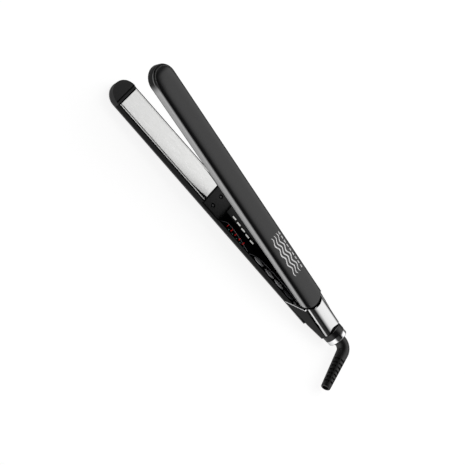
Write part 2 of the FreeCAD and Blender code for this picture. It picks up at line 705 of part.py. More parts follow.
def make_buttons():
    for index, spot in enumerate(BUTTONS, 1):
        button = body(f"button_{index}", "lower_plane")
        head = bevel_sketch(button, "-button_proud")
        lens(head, spot, "button_half", "button_sag")
        pad(button, head, "button_proud + flange_depth", down=True)
        flange = bevel_sketch(button, "flange_depth")
        rectangle(flange, f"{spot} - 3.5", f"{spot} + 3.5", "-flange_half", "flange_half")
        pad(button, flange, "0.5", down=True)
        stem = bevel_sketch(button, "flange_depth + 0.4")
        circle(stem, spot, "0", "stem_radius")
        pad(button, stem, "1.6", down=True)
    under = "(flange_depth + 2 + button_travel + 0.1)"
    switches = body("tact_switches", "lower_plane")
    cases = bevel_sketch(switches, under)
    for spot in BUTTONS:
        rectangle(cases, f"{spot} - 1.75", f"{spot} + 1.75", "-1.75", "1.75")
    pad(switches, cases, "0.9", down=True)
    board = body("key_board", "lower_plane")
    strip = bevel_sketch(board, f"{under} + 0.92")
    start = f"({PANEL_REAR} - key_board_length - 1.6)"
    rectangle(strip, start, f"{start} + key_board_length", "-1.9", "key_board_width - 1.9")
    pad(board, strip, "0.6", down=True)


def make_electronics():
    front = f"({PANEL_FRONT} + board_gap)"
    rear = f"({front} + board_length)"
    board = box(front, rear, "-board_width / 2", "board_width / 2",
                "board_floor", "board_floor + board_thick")
    group("circuit_board", "lower", [board])
    top = "(board_floor + board_thick + 0.02)"
    chips = [
        box(f"{front} + 10", f"{front} + 18", "-3", "4", top, f"{top} + 1.4"),
        box(f"{front} + 26", f"{front} + 40", "-5", "5", top, f"{top} + 5.5"),
        rod(f"{front} + 22", "6", top, "2.4", "5", V(0, 0, 1)),
    ]
    group("board_components", "lower", chips)
    supply = []
    turn = "(tail_end - 4.5)"
    for side in ("-", ""):
        supply.append(rod(f"{rear} + 0.5", f"{side}1.6", "lead_height", "lead_radius",
                          f"{turn} - {rear} - 0.5", V(1, 0, 0)))
        supply.append(rod(turn, f"{side}1.1", "lead_height", "lead_radius",
                          "axis_z - 0.4 - lead_height", V(0, 0, 1)))
        supply.append(rod(turn, f"{side}1.1", "axis_z - 0.4", "lead_radius", "6", V(1, 0, 0)))
    group("supply_leads", "lower", supply)
    leads = []
    for side in ("-", ""):
        leads.append(rod(f"{PLATE_REAR} - 16", f"{side}4", "lead_height + 0.3", "lead_radius",
                         f"{front} - 1 - {PLATE_REAR} + 16", V(1, 0, 0)))
    group("heater_leads", "lower", leads)


# --- hinge and tail ---------------------------------------------------------


def tail_plan(drawing, inset, front, rear):
    outline(
        drawing,
        [
            (front, f"-arm_half + {inset}"),
            ("cheek_peak + 1", f"-arm_half + {inset}"),
            ("tail_pinch", f"-tail_pinch_half + {inset}"),
            (rear, f"-tail_half + {inset}"),
            (rear, f"tail_half - {inset}"),
            ("tail_pinch", f"tail_pinch_half - {inset}"),
            ("cheek_peak + 1", f"arm_half - {inset}"),
            (front, f"arm_half - {inset}"),
        ],
    )


def make_tail():
    tail = body("tail_housing", "lower")
    plan = sketch_on(tail, "XY_Plane", "tail_bottom")
    tail_plan(plan, "0", "cheek_front", "tail_end")
    pad(tail, plan, "closed_height - tail_bottom")
    low = number("tail_bottom")
    fillet(
        tail,
        "tail_fillet",
        lambda b: near(b.ZMin, low) and near(b.ZMax, low) and b.XLength > 10,
    )
    # the slanted front edge, the falling top edge and the step over the lower cover
    side = sketch_on(tail, "XZ_Plane")
    edge = "(trim_width + 0.05)"
    outline(
        side,
        [
            ("cheek_front - 5", "-5"),
            ("lower_end + 0.1", "-5"),
            ("lower_end + 0.1", "lower_seam + 0.02"),
            (f"cheek_foot + {edge}", "lower_seam + 0.02"),
            (f"cheek_peak + {edge}", f"lower_seam + 0.02 + (cheek_peak - cheek_foot) * {CHEEK_RISE}"),
            ("tail_end + 0.1", "tail_rear_z"),
            ("tail_end + 9", "tail_rear_z"),
            ("tail_end + 9", "2 * closed_height"),
            ("cheek_front - 5", "2 * closed_height"),
        ],
    )
    pocket(tail, side, "4 * arm_half", both=True)
    well = sketch_on(tail, "XY_Plane", "closed_height + 5")
    rectangle(well, "cheek_front - 5", "hinge_x + 8", "-cheek_inner", "cheek_inner")
    pocket(tail, well, "closed_height + 5 - tail_floor")
    # a sloping shelf behind the hinge leaves room for the swing of the upper arm's cap
    shelf = sketch_on(tail, "XZ_Plane")
    outline(
        shelf,
        [
            ("shelf_front", "shelf_front_z"),
            ("tail_end + 1", "tail_rear_z - 0.2"),
            ("tail_end + 1", "closed_height + 5"),
            ("shelf_front", "closed_height + 5"),
        ],
    )
    pocket(tail, shelf, "2 * cheek_inner", both=True)
    trench = sketch_on(tail, "XY_Plane", "tail_floor + 0.1")
    rectangle(trench, "lower_end - 1", "tail_end - 7", "-3.6", "3.6")
    pocket(tail, trench, "tail_floor + 0.1 - 2.8")
    chamber = sketch_on(tail, "YZ_Plane", "tail_end + 1")
    rectangle(chamber, "-4", "4", "2.8", "axis_z + 0.7")
    pocket(tail, chamber, "9.5")
    bore = sketch_on(tail, "XZ_Plane")
    circle(bore, "hinge_x", "hinge_z", "pin_radius + 0.01")
    pocket(tail, bore, "2 * cheek_inner + 1.4", both=True)


def make_trim():
    """A thin chrome strip on each cheek's slanted front edge."""
    strips = []
    for low in ("-arm_half - trim_proud", "cheek_inner + 0.1"):
        strip = doc.addObject("PartDesign::Body", "Strip")
        drawing = sketch_on(strip, "XZ_Plane", f"-({low}) - (arm_half + trim_proud - cheek_inner - 0.1)")
        wide = "trim_width"
        outline(
            drawing,
            [
                ("cheek_foot + 0.12", "lower_seam + 0.05"),
                (f"cheek_foot + {wide}", "lower_seam + 0.05"),
                (f"cheek_peak + {wide}", "cheek_peak_z"),
                ("cheek_peak + 0.12", "cheek_peak_z"),
            ],
        )
        pad(strip, drawing, "arm_half + trim_proud - cheek_inner - 0.1")
        strips.append(strip)
    group("cheek_trim", "lower", strips)


def make_hinge():
    pin_body = body("hinge_pin", "lower")
    drawing = sketch_on(pin_body, "XZ_Plane")
    circle(drawing, "hinge_x", "hinge_z", "pin_radius")
    pad(pin_body, drawing, "2 * cheek_inner + 1.2", both=True)

    knuckle = body("hinge_knuckle", "upper")
    barrel = sketch_on(knuckle, "XZ_Plane")
    circle(barrel, "hinge_x", "hinge_z", "knuckle_radius")
    pad(knuckle, barrel, "2 * lobe_outer", both=True)
    web = sketch_on(knuckle, "XZ_Plane")
    outline(
        web,
        [
            ("hinge_x - knuckle_radius + 0.6", "hinge_z"),
            ("hinge_x + knuckle_radius - 0.6", "hinge_z"),
            ("hinge_x + 7", "cap_top - cap_wall - 0.02"),
            ("hinge_x - 10", "cap_top - cap_wall - 0.02"),
        ],
    )
    pad(knuckle, web, "2 * lobe_outer", both=True)
    slot = sketch_on(knuckle, "XZ_Plane")
    rectangle(slot, "hinge_x - 12", "hinge_x + 12", "0", "hinge_z + knuckle_radius + 0.8")
    pocket(knuckle, slot, "2 * lobe_inner", both=True)
    bore = sketch_on(knuckle, "XZ_Plane")
    circle(bore, "hinge_x", "hinge_z", "pin_radius + pin_gap")
    pocket(knuckle, bore, "3 * lobe_outer", both=True)

    # a torsion spring drawn as its coil, with one leg to the floor and one to the knuckle
    spring = body("hinge_spring", "lower")
    coil = sketch_on(spring, "XZ_Plane")
    circle(coil, "hinge_x", "hinge_z", "spring_radius")
    circle(coil, "hinge_x", "hinge_z", "spring_radius - 2 * spring_wire")
    pad(spring, coil, "2 * spring_coil_half", both=True)
    for side in ("-", ""):
        leg = sketch_on(spring, "XZ_Plane", f"{side}(spring_coil_half - 2 * spring_wire)")
        z0 = "hinge_z - spring_radius" if side else "hinge_z + spring_radius - 2 * spring_wire"
        rectangle(leg, "hinge_x - spring_leg", "hinge_x", z0, f"{z0} + 2 * spring_wire")
        pad(spring, leg, "2 * spring_wire", both=True)

    cap = body("upper_hinge_cap", "upper")
    plan = sketch_on(cap, "XY_Plane", "cap_bottom")
    nose_radius = f"({END_RADIUS} + 0.3)"
    front = f"upper_end + 0.3 - ({nose_radius} - sqrt({nose_radius}^2 - cap_half^2))"
    outline(
        plan,
        [
            (front, "cap_half"),
            (front, "-cap_half"),
            ("tail_pinch", "-cap_half"),
            ("cap_end", "-cap_end_half"),
            ("cap_end", "cap_end_half"),
            ("tail_pinch", "cap_half"),
        ],
        {0: (nose_radius, 1)},
    )
    pad(cap, plan, "cap_top - cap_bottom")
    top = number("cap_top")
    fillet(cap, "cap_round", lambda b: near(b.ZMin, top) and b.XLength > 5 and b.YLength < 5)
    hollow = sketch_on(cap, "XY_Plane", "cap_bottom - 1")
    rectangle(hollow, "upper_end - 20", "cap_end - cap_wall", "-cap_end_half + 0.9", "cap_end_half - 0.9")
    pocket(cap, hollow, "cap_top - cap_bottom + 1 - cap_wall", up=True)


# --- swivel and strain relief ----------------------------------------------


def make_swivel():
    collar = body("tail_collar", "lower")
    drawing = axis_sketch(collar)
    start = "(tail_end + 0.05)"
    bore = "(flange_radius + 0.4)"
    outline(
        drawing,
        [
            (start, "lead_hole"),
            (start, "tail_half - 0.3"),
            (f"{start} + collar_length", "collar_rear"),
            (f"{start} + collar_length", bore),
            (f"{start} + collar_wall", bore),
            (f"{start} + collar_wall", "lead_hole"),
        ],
    )
    revolve(collar, drawing)
    # a disc with two brass slip rings carries the supply across the swivel
    face = f"({start} + collar_wall + 0.02)"
    disc = body("contact_disc", "lower")
    drawing = axis_sketch(disc)
    rectangle(drawing, face, f"{face} + disc_thick", "lead_hole", f"{bore} - 0.1")
    revolve(disc, drawing)
    slip = body("slip_rings", "lower")
    drawing = axis_sketch(slip)
    for inner in ("3", "5"):
        rectangle(drawing, f"{face} + disc_thick + 0.02", f"{face} + disc_thick + 0.7",
                  inner, f"{inner} + 1")
    revolve(slip, drawing)

    ring = body("tail_ring", "lower")
    drawing = axis_sketch(ring)
    start = "tail_end + 0.1 + collar_length"
    outline(
        drawing,
        [
            (start, "neck_radius + swivel_gap"),
            (start, "ring_radius - 0.3"),
            (f"{start} + 0.5", "ring_radius"),
            (f"{start} + ring_length - 0.8", "ring_radius"),
            (f"{start} + ring_length", "ring_radius - 0.8"),
            (f"{start} + ring_length", "neck_radius + swivel_gap"),
        ],
    )
    revolve(ring, drawing)


def make_strain_relief():
    """The swivel's flange and neck, a bent elbow and a tapered sleeve with the cord's bore."""
    ring_end = "(tail_end + 0.1 + collar_length + ring_length)"
    neck_start = "(tail_end + 0.1 + collar_length - 0.1)"
    relief = doc.addObject("PartDesign::Body", "Elbow")
    neck = axis_sketch(relief)
    outline(
        neck,
        [
            (f"{neck_start} - flange_thick", "0"),
            (f"{neck_start} - flange_thick", "flange_radius"),
            (neck_start, "flange_radius"),
            (neck_start, "neck_radius"),
            (f"{ring_end} + 0.1", "neck_radius"),
            (f"{ring_end} + 0.1", "elbow_radius"),
            (f"{ring_end} + elbow_lead", "elbow_radius"),
            (f"{ring_end} + elbow_lead", "0"),
        ],
    )
    revolve(relief, neck)
    turn = "(bend_angle * 1 deg)"
    bend_x = f"({ring_end} + elbow_lead)"
    exit_x = f"({bend_x} + bend_radius * sin{turn})"
    exit_y = f"(-bend_radius * (1 - cos{turn}))"
    # the bend is a ring segment about an upright axis
    bend = doc.addObject("Part::Torus", "Bend")
    bind(bend, "Radius1", "bend_radius")
    bind(bend, "Radius2", "elbow_radius")
    bind(bend, "Angle3", "bend_angle")
    bend.Placement = FreeCAD.Placement(V(0, 0, 0), FreeCAD.Rotation(V(0, 0, 1), 1))
    bind(bend, "Placement.Rotation.Angle", "90 - bend_angle")
    bind(bend, "Placement.Base.x", bend_x)
    bind(bend, "Placement.Base.y", "-bend_radius")
    bind(bend, "Placement.Base.z", "axis_z")
    sleeve = doc.addObject("Part::Cone", "Sleeve")
    bind(sleeve, "Radius1", "elbow_radius")
    bind(sleeve, "Radius2", "sleeve_end_radius")
    bind(sleeve, "Height", "sleeve_length")
    bore = doc.addObject("Part::Cylinder", "CordBore")
    bind(bore, "Radius", "cord_bore")
    bind(bore, "Height", "cord_bore_depth + 1")
    heading = math.radians(number("bend_angle"))
    along = V(math.cos(heading), -math.sin(heading), 0)
    for solid, start in ((sleeve, "0"), (bore, "(sleeve_length - cord_bore_depth)")):
        solid.Placement = FreeCAD.Placement(V(0, 0, 0), FreeCAD.Rotation(V(0, 0, 1), along))
        bind(solid, "Placement.Base.x", f"{exit_x} + {start} * cos{turn}")
        bind(solid, "Placement.Base.y", f"{exit_y} - {start} * sin{turn}")
        bind(solid, "Placement.Base.z", "axis_z")
    joined = doc.addObject("Part::MultiFuse", "Joined")
    joined.Shapes = [relief, bend, sleeve]
    thing = difference(joined, bore)
    thing.Label = "strain_relief"
    place(thing, "lower")


# --- the whole object -------------------------------------------------------

make_lower_cover()
make_upper_cover()
make_upper_band()
make_lower_frame()
make_upper_frame()
make_tip_cap("lower_tip_cap", "lower", -1)
make_tip_cap("upper_tip_cap", "upper_plane", 1)
for arm, way in (("lower", -1), ("upper", 1)):
    make_plate(arm + "_plate", arm + "_plane", way)
    make_heater(arm, arm + "_plane", way)
    make_screw_block(arm, arm + "_plane", way)
make_control_panel()
make_buttons()
make_electronics()
make_tail()
make_trim()
make_hinge()
make_swivel()
make_strain_relief()
doc.recompute()

for item in doc.Objects:
    if {"Invalid", "Error"} & set(item.State):
        raise RuntimeError(f"{item.Name} ({item.Label}) did not compute")
for item in SUB_PARTS:
    if item.Shape.isNull() or not item.Shape.isValid() or not item.Shape.Solids:
        raise RuntimeError(f"{item.Label} has no valid solid")

os.makedirs("parts", exist_ok=True)
for item in SUB_PARTS:
    item.Shape.exportStep(f"parts/{item.Label}.step")
    print(f"{item.Label}: {len(item.Shape.Solids)} solid(s), {item.Shape.Volume:.0f} mm3")
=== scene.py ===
import json
import math

import bmesh
import bpy
from mathutils import Matrix, Vector
from mathutils.bvhtree import BVHTree


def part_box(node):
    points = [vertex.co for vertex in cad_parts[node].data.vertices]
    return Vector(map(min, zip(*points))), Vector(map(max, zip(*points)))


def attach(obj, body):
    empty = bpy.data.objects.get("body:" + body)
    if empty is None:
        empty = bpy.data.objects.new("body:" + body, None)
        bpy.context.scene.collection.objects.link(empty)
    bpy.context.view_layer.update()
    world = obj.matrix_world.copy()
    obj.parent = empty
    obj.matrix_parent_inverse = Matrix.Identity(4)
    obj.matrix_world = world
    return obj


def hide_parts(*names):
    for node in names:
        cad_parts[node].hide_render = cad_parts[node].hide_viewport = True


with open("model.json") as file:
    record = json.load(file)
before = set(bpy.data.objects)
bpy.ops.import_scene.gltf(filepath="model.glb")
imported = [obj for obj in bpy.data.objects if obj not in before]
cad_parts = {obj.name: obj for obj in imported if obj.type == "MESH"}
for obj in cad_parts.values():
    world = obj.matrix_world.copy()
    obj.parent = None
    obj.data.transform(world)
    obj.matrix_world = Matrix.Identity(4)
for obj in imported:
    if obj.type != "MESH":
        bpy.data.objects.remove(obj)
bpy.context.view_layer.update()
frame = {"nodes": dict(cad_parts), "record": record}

# A slim hair straightener, open at rest. The lower arm lies along X with its tip at -X,
# the keys are on its -Y side, and the upper arm is hinged at the tail.

mm = 0.001
scene = bpy.context.scene
scene.view_settings.view_transform = "Standard"


behaviour = frame["record"]["behaviour"]
joints = {joint["name"]: joint for joint in behaviour["joints"]}
bodyOf = {node: body for body, nodes in behaviour["bodies"].items() for node in nodes}
slotOf = {row["node"]: row["material_slot"] for row in frame["record"]["subparts"]}

hinge = joints["arm_hinge"]
hingePoint = Vector(hinge["pos_m"])
openAngle = math.radians(hinge["range_deg"][1])
closing = Matrix.Rotation(openAngle, 4, Vector(hinge["axis"]))
toClosed = Matrix.Translation(hingePoint) @ closing @ Matrix.Translation(-hingePoint)
toOpen = toClosed.inverted()


def corners(node, turn=Matrix.Identity(4)):
    # lowest and highest corner of a node in another frame
    spots = [turn @ vert.co for vert in frame["nodes"][node].data.vertices]
    low = Vector(min(spot[i] for spot in spots) for i in range(3))
    high = Vector(max(spot[i] for spot in spots) for i in range(3))
    return low, high


# the sloping plane where the two arms meet: X along it, Z out of the lower plate
planeUp = -Vector(joints["lower_plate_float"]["axis"])
planeAlong = Vector((0, 1, 0)).cross(planeUp)
planeTurn = Matrix((planeAlong, Vector((0, 1, 0)), planeUp)).transposed().to_4x4()
contactGap = 0.12 * mm
plateTop = corners("lower_plate", planeTurn.inverted())[1].z + contactGap
fromPlane = Matrix.Translation(planeUp * plateTop) @ planeTurn
toPlane = fromPlane.inverted()
fromUpperPlane = toOpen @ fromPlane

lidLow, lidHigh = corners("upper_cover", toClosed)
armHalf = lidHigh.y


def linear(hexText):
    # an sRGB hex colour as linear RGBA
    parts = [int(hexText[i:i + 2], 16) / 255 for i in (1, 3, 5)]
    return [c / 12.92 if c <= 0.04045 else ((c + 0.055) / 1.055) ** 2.4 for c in parts] + [1.0]


def addNode(tree, kind, sockets=None, **settings):
    # a socket takes a plain value, or (node, output) for a link
    made = tree.nodes.new(kind)
    for name, value in settings.items():
        setattr(made, name, value)
    for name, value in (sockets or {}).items():
        if isinstance(value, tuple) and isinstance(value[0], bpy.types.Node):
            tree.links.new(value[0].outputs[value[1]], made.inputs[name])
        else:
            made.inputs[name].default_value = value
    return made


def newMaterial(name, colour, rough, **sockets):
    made = bpy.data.materials.new(name)
    made.use_nodes = True
    tree = made.node_tree
    shader = tree.nodes["Principled BSDF"]
    shader.inputs["Base Color"].default_value = linear(colour)
    shader.inputs["Roughness"].default_value = rough
    for socket, value in sockets.items():
        shader.inputs[socket.replace("_", " ")].default_value = value
    return made, tree, shader


def addGrain(tree, shader, sizeMm, depthMm, strength, stretch=(1, 1, 1)):
    # a fine moulded or brushed texture, with its grain size in millimetres; fine grain is drawn
    # at 0.25 mm or more, coarser than the real one, which would not show at all
    place = addNode(tree, "ShaderNodeTexCoord")
    turn = addNode(tree, "ShaderNodeMapping", {"Vector": (place, "Object"), "Scale": stretch})
    noise = addNode(tree, "ShaderNodeTexNoise",
                    {"Vector": (turn, 0), "Scale": 1 / (sizeMm * mm), "Detail": 3.0})
    bump = addNode(tree, "ShaderNodeBump",
                   {"Height": (noise, 0), "Strength": strength, "Distance": depthMm * mm})
    tree.links.new(bump.outputs[0], shader.inputs["Normal"])
    return noise


def varyRoughness(tree, shader, noise, low, high):
    spread = addNode(tree, "ShaderNodeMapRange",
                     {"Value": (noise, 0), "From Min": 0.3, "From Max": 0.7,
                      "To Min": low, "To Max": high})
    tree.links.new(spread.outputs[0], shader.inputs["Roughness"])


def glossAbs(name, shine):
    # injection-moulded ABS from a polished tool: black, mirror-like, with faint orange peel
    made, tree, shader = newMaterial(name, "#040405", 0.09, IOR=1.46, Specular_IOR_Level=shine)
    addGrain(tree, shader, 4, 0.01, 0.25)
    return made


def lidLacquer():
    # satin lacquer on ABS: charcoal, soft reflections, a very fine spray texture
    made, tree, shader = newMaterial("lidLacquer", "#121213", 0.2, IOR=1.5)
    noise = addGrain(tree, shader, 0.5, 0.01, 0.3)
    varyRoughness(tree, shader, noise, 0.17, 0.24)
    return made


def bandSilverPaintedShadeAndHighlight():
    # silver paint on the straight sides; its fade to black at the shoulder and round the tip is
    # painted shade, and the thin silver line that is all that shows round the tip is a painted
    # highlight
    band = {"silver": "#b0b0b0", "black": "#070707", "fadeLow": 3.2, "fadeHigh": 1.4,
            "tipBlack": 9, "tipSilver": 20, "highlightDown": 3.3, "highlightCore": 0.15,
            "highlightEdge": 0.55, "highlightShare": 0.35}
    made, tree, shader = newMaterial("bandSilverPaintedShadeAndHighlight", band["silver"], 0.34, Metallic=0.6)
    place = addNode(tree, "ShaderNodeTexCoord")
    turned = addNode(tree, "ShaderNodeMapping",
                     {"Vector": (place, "Object"), "Rotation": toClosed.to_euler(),
                      "Location": toClosed.to_translation()})
    axes = addNode(tree, "ShaderNodeSeparateXYZ", {"Vector": (turned, 0)})
    top = lidHigh.z
    tipEnd = lidLow.x
    # painted shade: the band darkens to black towards the shoulder
    shoulder = addNode(tree, "ShaderNodeMapRange",
                       {"Value": (axes, 2), "From Min": top - band["fadeLow"] * mm,
                        "From Max": top - band["fadeHigh"] * mm, "To Min": 1.0, "To Max": 0.0},
                       interpolation_type="SMOOTHSTEP")
    # painted shade: the band turns black round the tip
    straight = addNode(tree, "ShaderNodeMapRange",
                       {"Value": (axes, 0), "From Min": tipEnd + band["tipBlack"] * mm,
                        "From Max": tipEnd + band["tipSilver"] * mm, "To Min": 0.0,
                        "To Max": 1.0}, interpolation_type="SMOOTHSTEP")
    side = addNode(tree, "ShaderNodeMath",
                   {0: (shoulder, 0), 1: (straight, 0)}, operation="MULTIPLY")
    # painted highlight: a thin silver line at one height, showing round the tip
    fromLine = addNode(tree, "ShaderNodeMath", {0: (axes, 2), 1: top - band["highlightDown"] * mm},
                       operation="SUBTRACT")
    away = addNode(tree, "ShaderNodeMath", {0: (fromLine, 0)}, operation="ABSOLUTE")
    line = addNode(tree, "ShaderNodeMapRange",
                   {"Value": (away, 0), "From Min": band["highlightCore"] * mm,
                    "From Max": band["highlightEdge"] * mm, "To Min": band["highlightShare"],
                    "To Max": 0.0}, interpolation_type="SMOOTHSTEP")
    both = addNode(tree, "ShaderNodeMath", {0: (side, 0), 1: (line, 0)}, operation="MAXIMUM")
    shade = addNode(tree, "ShaderNodeMix",
                    {"Factor": (both, 0), 6: linear(band["black"]), 7: linear(band["silver"])},
                    data_type="RGBA")
    tree.links.new(shade.outputs[2], shader.inputs["Base Color"])
    return made


def plateTitanium():
    # titanium coating on ground aluminium: pale grey, satin, ground along the plate
    made, tree, shader = newMaterial("plateTitanium", "#e9e9e8", 0.3, Metallic=1.0)
    noise = addGrain(tree, shader, 0.4, 0.01, 0.15, (0.06, 1, 1))
    varyRoughness(tree, shader, noise, 0.26, 0.36)
    return made


def chromePlating():
    # bright chrome on ABS: a mirror with hardly any texture
    made, tree, shader = newMaterial("chromePlating", "#f0f0f1", 0.05, Metallic=1.0)
    addGrain(tree, shader, 6, 0.01, 0.1)
    return made


def matteResin(name, colour, rough, shine=0.35):
    # heat-resistant resin from a spark-eroded tool: dark, dull, finely pitted
    made, tree, shader = newMaterial(name, colour, rough, Specular_IOR_Level=shine)
    noise = addGrain(tree, shader, 0.45, 0.04, 0.35)
    varyRoughness(tree, shader, noise, rough - 0.06, rough + 0.08)
    return made


def reliefRubber():
    # thermoplastic rubber: black, soft sheen, slightly grainy
    made, tree, shader = newMaterial("reliefRubber", "#0a0a0a", 0.38, Specular_IOR_Level=0.6)
    noise = addGrain(tree, shader, 0.7, 0.03, 0.3)
    varyRoughness(tree, shader, noise, 0.36, 0.5)
    return made


def satinMetal(name, colour, rough, grainMm=0.3):
    # brushed or tumbled metal and metallic paint
    made, tree, shader = newMaterial(name, colour, rough, Metallic=1.0)
    addGrain(tree, shader, grainMm, 0.01, 0.2, (1, 0.3, 1))
    return made


def keyPaint(name, colour):
    # silver paint under clear lacquer on a moulded key
    made, tree, shader = newMaterial(name, colour, 0.35, Metallic=0.35, Coat_Weight=0.6,
                                     Coat_Roughness=0.08)
    noise = addGrain(tree, shader, 0.25, 0.01, 0.2)
    varyRoughness(tree, shader, noise, 0.3, 0.42)
    return made


def glowingInkAndWindows(name, colour, rough, glow=0.0):
    # printing ink and small translucent windows; the glow given to the printed ink is painted
    # light
    made, tree, shader = newMaterial(name, colour, rough)
    addGrain(tree, shader, 0.3, 0.005, 0.15)
    shader.inputs["Emission Color"].default_value = linear(colour)
    shader.inputs["Emission Strength"].default_value = glow
    return made


finishes = {
    "glossAbs": glossAbs("glossAbs", 0.5),
    "panelGloss": glossAbs("panelGloss", 0.14),
    "tailGloss": glossAbs("tailGloss", 0.16),
    "lidLacquer": lidLacquer(),
    "bandSilverPaintedShadeAndHighlight": bandSilverPaintedShadeAndHighlight(),
    "plateTitanium": plateTitanium(),
    "chrome": chromePlating(),
    "frameResin": matteResin("frameResin", "#030303", 0.3, 0.08),
    # the rim beads' grey is a painted highlight
    "rimBeadPaintedHighlight": keyPaint("rimBeadPaintedHighlight", "#55555a"),
    "collarSatin": matteResin("collarSatin", "#0c0c0d", 0.28, 0.5),
    "resin": matteResin("darkResin", "#131314", 0.5, 0.3),
    # dark resin for the upper frame; on the tip cap's recesses and the plates' groove floors it is
    # painted shade
    "darkResinAndPaintedShade": matteResin("darkResinAndPaintedShade", "#050505", 0.6, 0.15),
    "capResin": matteResin("capResin", "#121213", 0.42, 0.3),
    "rubber": reliefRubber(),
    "buttonSilver": keyPaint("buttonSilver", "#a9a9ab"),
    "buttonDark": keyPaint("buttonDark", "#3c3c40"),
    "capChrome": satinMetal("capChrome", "#d4d4d4", 0.06, 3),
    "screwBlack": satinMetal("screwBlack", "#4a4a4c", 0.34),
    "springSteel": satinMetal("springSteel", "#9a9a9c", 0.3),
    "brass": satinMetal("brass", "#c8a25a", 0.25),
    "heaterCeramic": matteResin("heaterCeramic", "#d2cfc8", 0.6),
    "silicone": matteResin("silicone", "#a8502f", 0.5),
    "boardLacquer": matteResin("boardLacquer", "#17502a", 0.4),
    "wireSleeve": matteResin("wireSleeve", "#8e8e8c", 0.5),
    "ledWindow": glowingInkAndWindows("ledWindow", "#e6e6e2", 0.3, 0.25),
    # the printed figures, marks and lid mark glow a little: painted light
    "inkRed": glowingInkAndWindows("inkRed", "#c01818", 0.4, 0.25),
    "inkTeal": glowingInkAndWindows("inkTeal", "#4f7f78", 0.4, 0.1),
    "inkSilver": glowingInkAndWindows("inkSilver", "#ededed", 0.35, 0.12),
}
slotFinish = {
    "gloss_black": "glossAbs", "panel_black": "panelGloss", "charcoal_lid": "lidLacquer",
    "grey_band": "bandSilverPaintedShadeAndHighlight", "inner_black": "resin", "plate_coating": "plateTitanium",
    "chrome_trim": "chrome", "silver_button": "buttonSilver", "dark_button": "buttonDark",
    "led_window": "ledWindow", "relief_rubber": "rubber", "steel": "springSteel",
    "ceramic_heater": "heaterCeramic", "silicone_pad": "silicone", "board_green": "boardLacquer",
    "brass_contact": "brass", "wire_sleeve": "wireSleeve",
}
for nodeName, nodeObject in frame["nodes"].items():
    nodeObject.data.materials.clear()
    nodeObject.data.materials.append(finishes[slotFinish[slotOf[nodeName]]])
print("materials made")


seams = {"weld": 0.002 * mm, "flat": math.radians(0.6), "sharp": math.radians(32)}


def copyNode(nodeName):
    # a CAD node's surface as one welded mesh with its flat faces joined up
    mesh = bmesh.new()
    mesh.from_mesh(frame["nodes"][nodeName].data)
    bmesh.ops.remove_doubles(mesh, verts=mesh.verts, dist=seams["weld"])
    bmesh.ops.dissolve_limit(mesh, angle_limit=seams["flat"], verts=mesh.verts, edges=mesh.edges)
    return mesh


def makePiece(name, mesh, body, finish, place=None, replaces=(), edge=0.0, segments=2,
              second=None):
    # turns a bmesh into a piece of the object, with softened edges
    if place is not None:
        bmesh.ops.transform(mesh, matrix=place, verts=mesh.verts)
    for face in mesh.faces:
        face.smooth = True
    for line in mesh.edges:
        line.smooth = line.calc_face_angle(0.0) < seams["sharp"]
    data = bpy.data.meshes.new(name)
    mesh.to_mesh(data)
    mesh.free()
    made = bpy.data.objects.new(name, data)
    scene.collection.objects.link(made)
    data.materials.append(finishes[finish])
    if second:
        data.materials.append(finishes[second])
    if edge:
        bevel = made.modifiers.new("softEdges", "BEVEL")
        bevel.width = edge
        bevel.segments = segments
        bevel.limit_method = "ANGLE"
        bevel.angle_limit = seams["sharp"]
        bevel.harden_normals = True
        bevel.use_clamp_overlap = True
    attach(made, body)
    if replaces:
        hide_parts(*replaces)
    return made


def dressNode(nodeName, name, finish, edge, segments=2):
    # a CAD node with softened edges in place of its sharp ones
    return makePiece(name, copyNode(nodeName), bodyOf[nodeName], finish,
                     replaces=(nodeName,), edge=edge, segments=segments)


def blockMesh(low, high):
    # a box between two corners
    mesh = bmesh.new()
    bmesh.ops.create_cube(mesh, size=1)
    size = [b - a for a, b in zip(low, high)]
    bmesh.ops.scale(mesh, vec=size, verts=mesh.verts)
    bmesh.ops.translate(mesh, vec=(Vector(low) + Vector(high)) / 2, verts=mesh.verts)
    return mesh


def joinMeshes(meshes):
    # several bmeshes as one
    whole = bmesh.new()
    for part in meshes:
        data = bpy.data.meshes.new("part")
        part.to_mesh(data)
        part.free()
        whole.from_mesh(data)
        bpy.data.meshes.remove(data)
    return whole


dressed = {}
for nodeName, name, finish, edge in (
    ("lower_cover", "lowerShell", "glossAbs", 0.22),
    ("lower_frame", "lowerFrame", "frameResin", 0.3),
    ("tail_housing", "tailHousing", "tailGloss", 0.2),
    ("upper_frame", "handleFace", "darkResinAndPaintedShade", 0.2),
    ("upper_tip_cap", "upperTipCap", "capResin", 0.25),
    ("lower_screw_block", "lowerScrewBlock", "resin", 0.3),
    ("upper_screw_block", "upperScrewBlock", "resin", 0.25),
    ("tail_collar", "tailCollar", "collarSatin", 0.3),
    ("tail_ring", "swivelRing", "chrome", 0.2),
    ("control_panel", "controlPanel", "panelGloss", 0.15),
):
    dressed[nodeName] = dressNode(nodeName, name, finish, edge * mm)


def sinkNose(mesh):
    # the upper arm thins towards its tip: what is high there sinks, in the closed frame
    nose = {"length": 22, "drop": 0.7, "foot": 13, "power": 2}
    tall = lidHigh.z - nose["foot"] * mm
    for vert in mesh.verts:
        near = max(0, 1 - (vert.co.x - lidLow.x) / (nose["length"] * mm))
        share = min(1, max(0, (vert.co.z - nose["foot"] * mm) / tall))
        vert.co.z -= nose["drop"] * mm * near ** nose["power"] * share


def cutAcross(mesh, axis, places):
    # scores a mesh with planes across one axis
    normal = [float(i == axis) for i in range(3)]
    for spot in places:
        everything = mesh.verts[:] + mesh.edges[:] + mesh.faces[:]
        bmesh.ops.bisect_plane(mesh, geom=everything, dist=seams["weld"],
                               plane_co=[spot * n for n in normal], plane_no=normal)


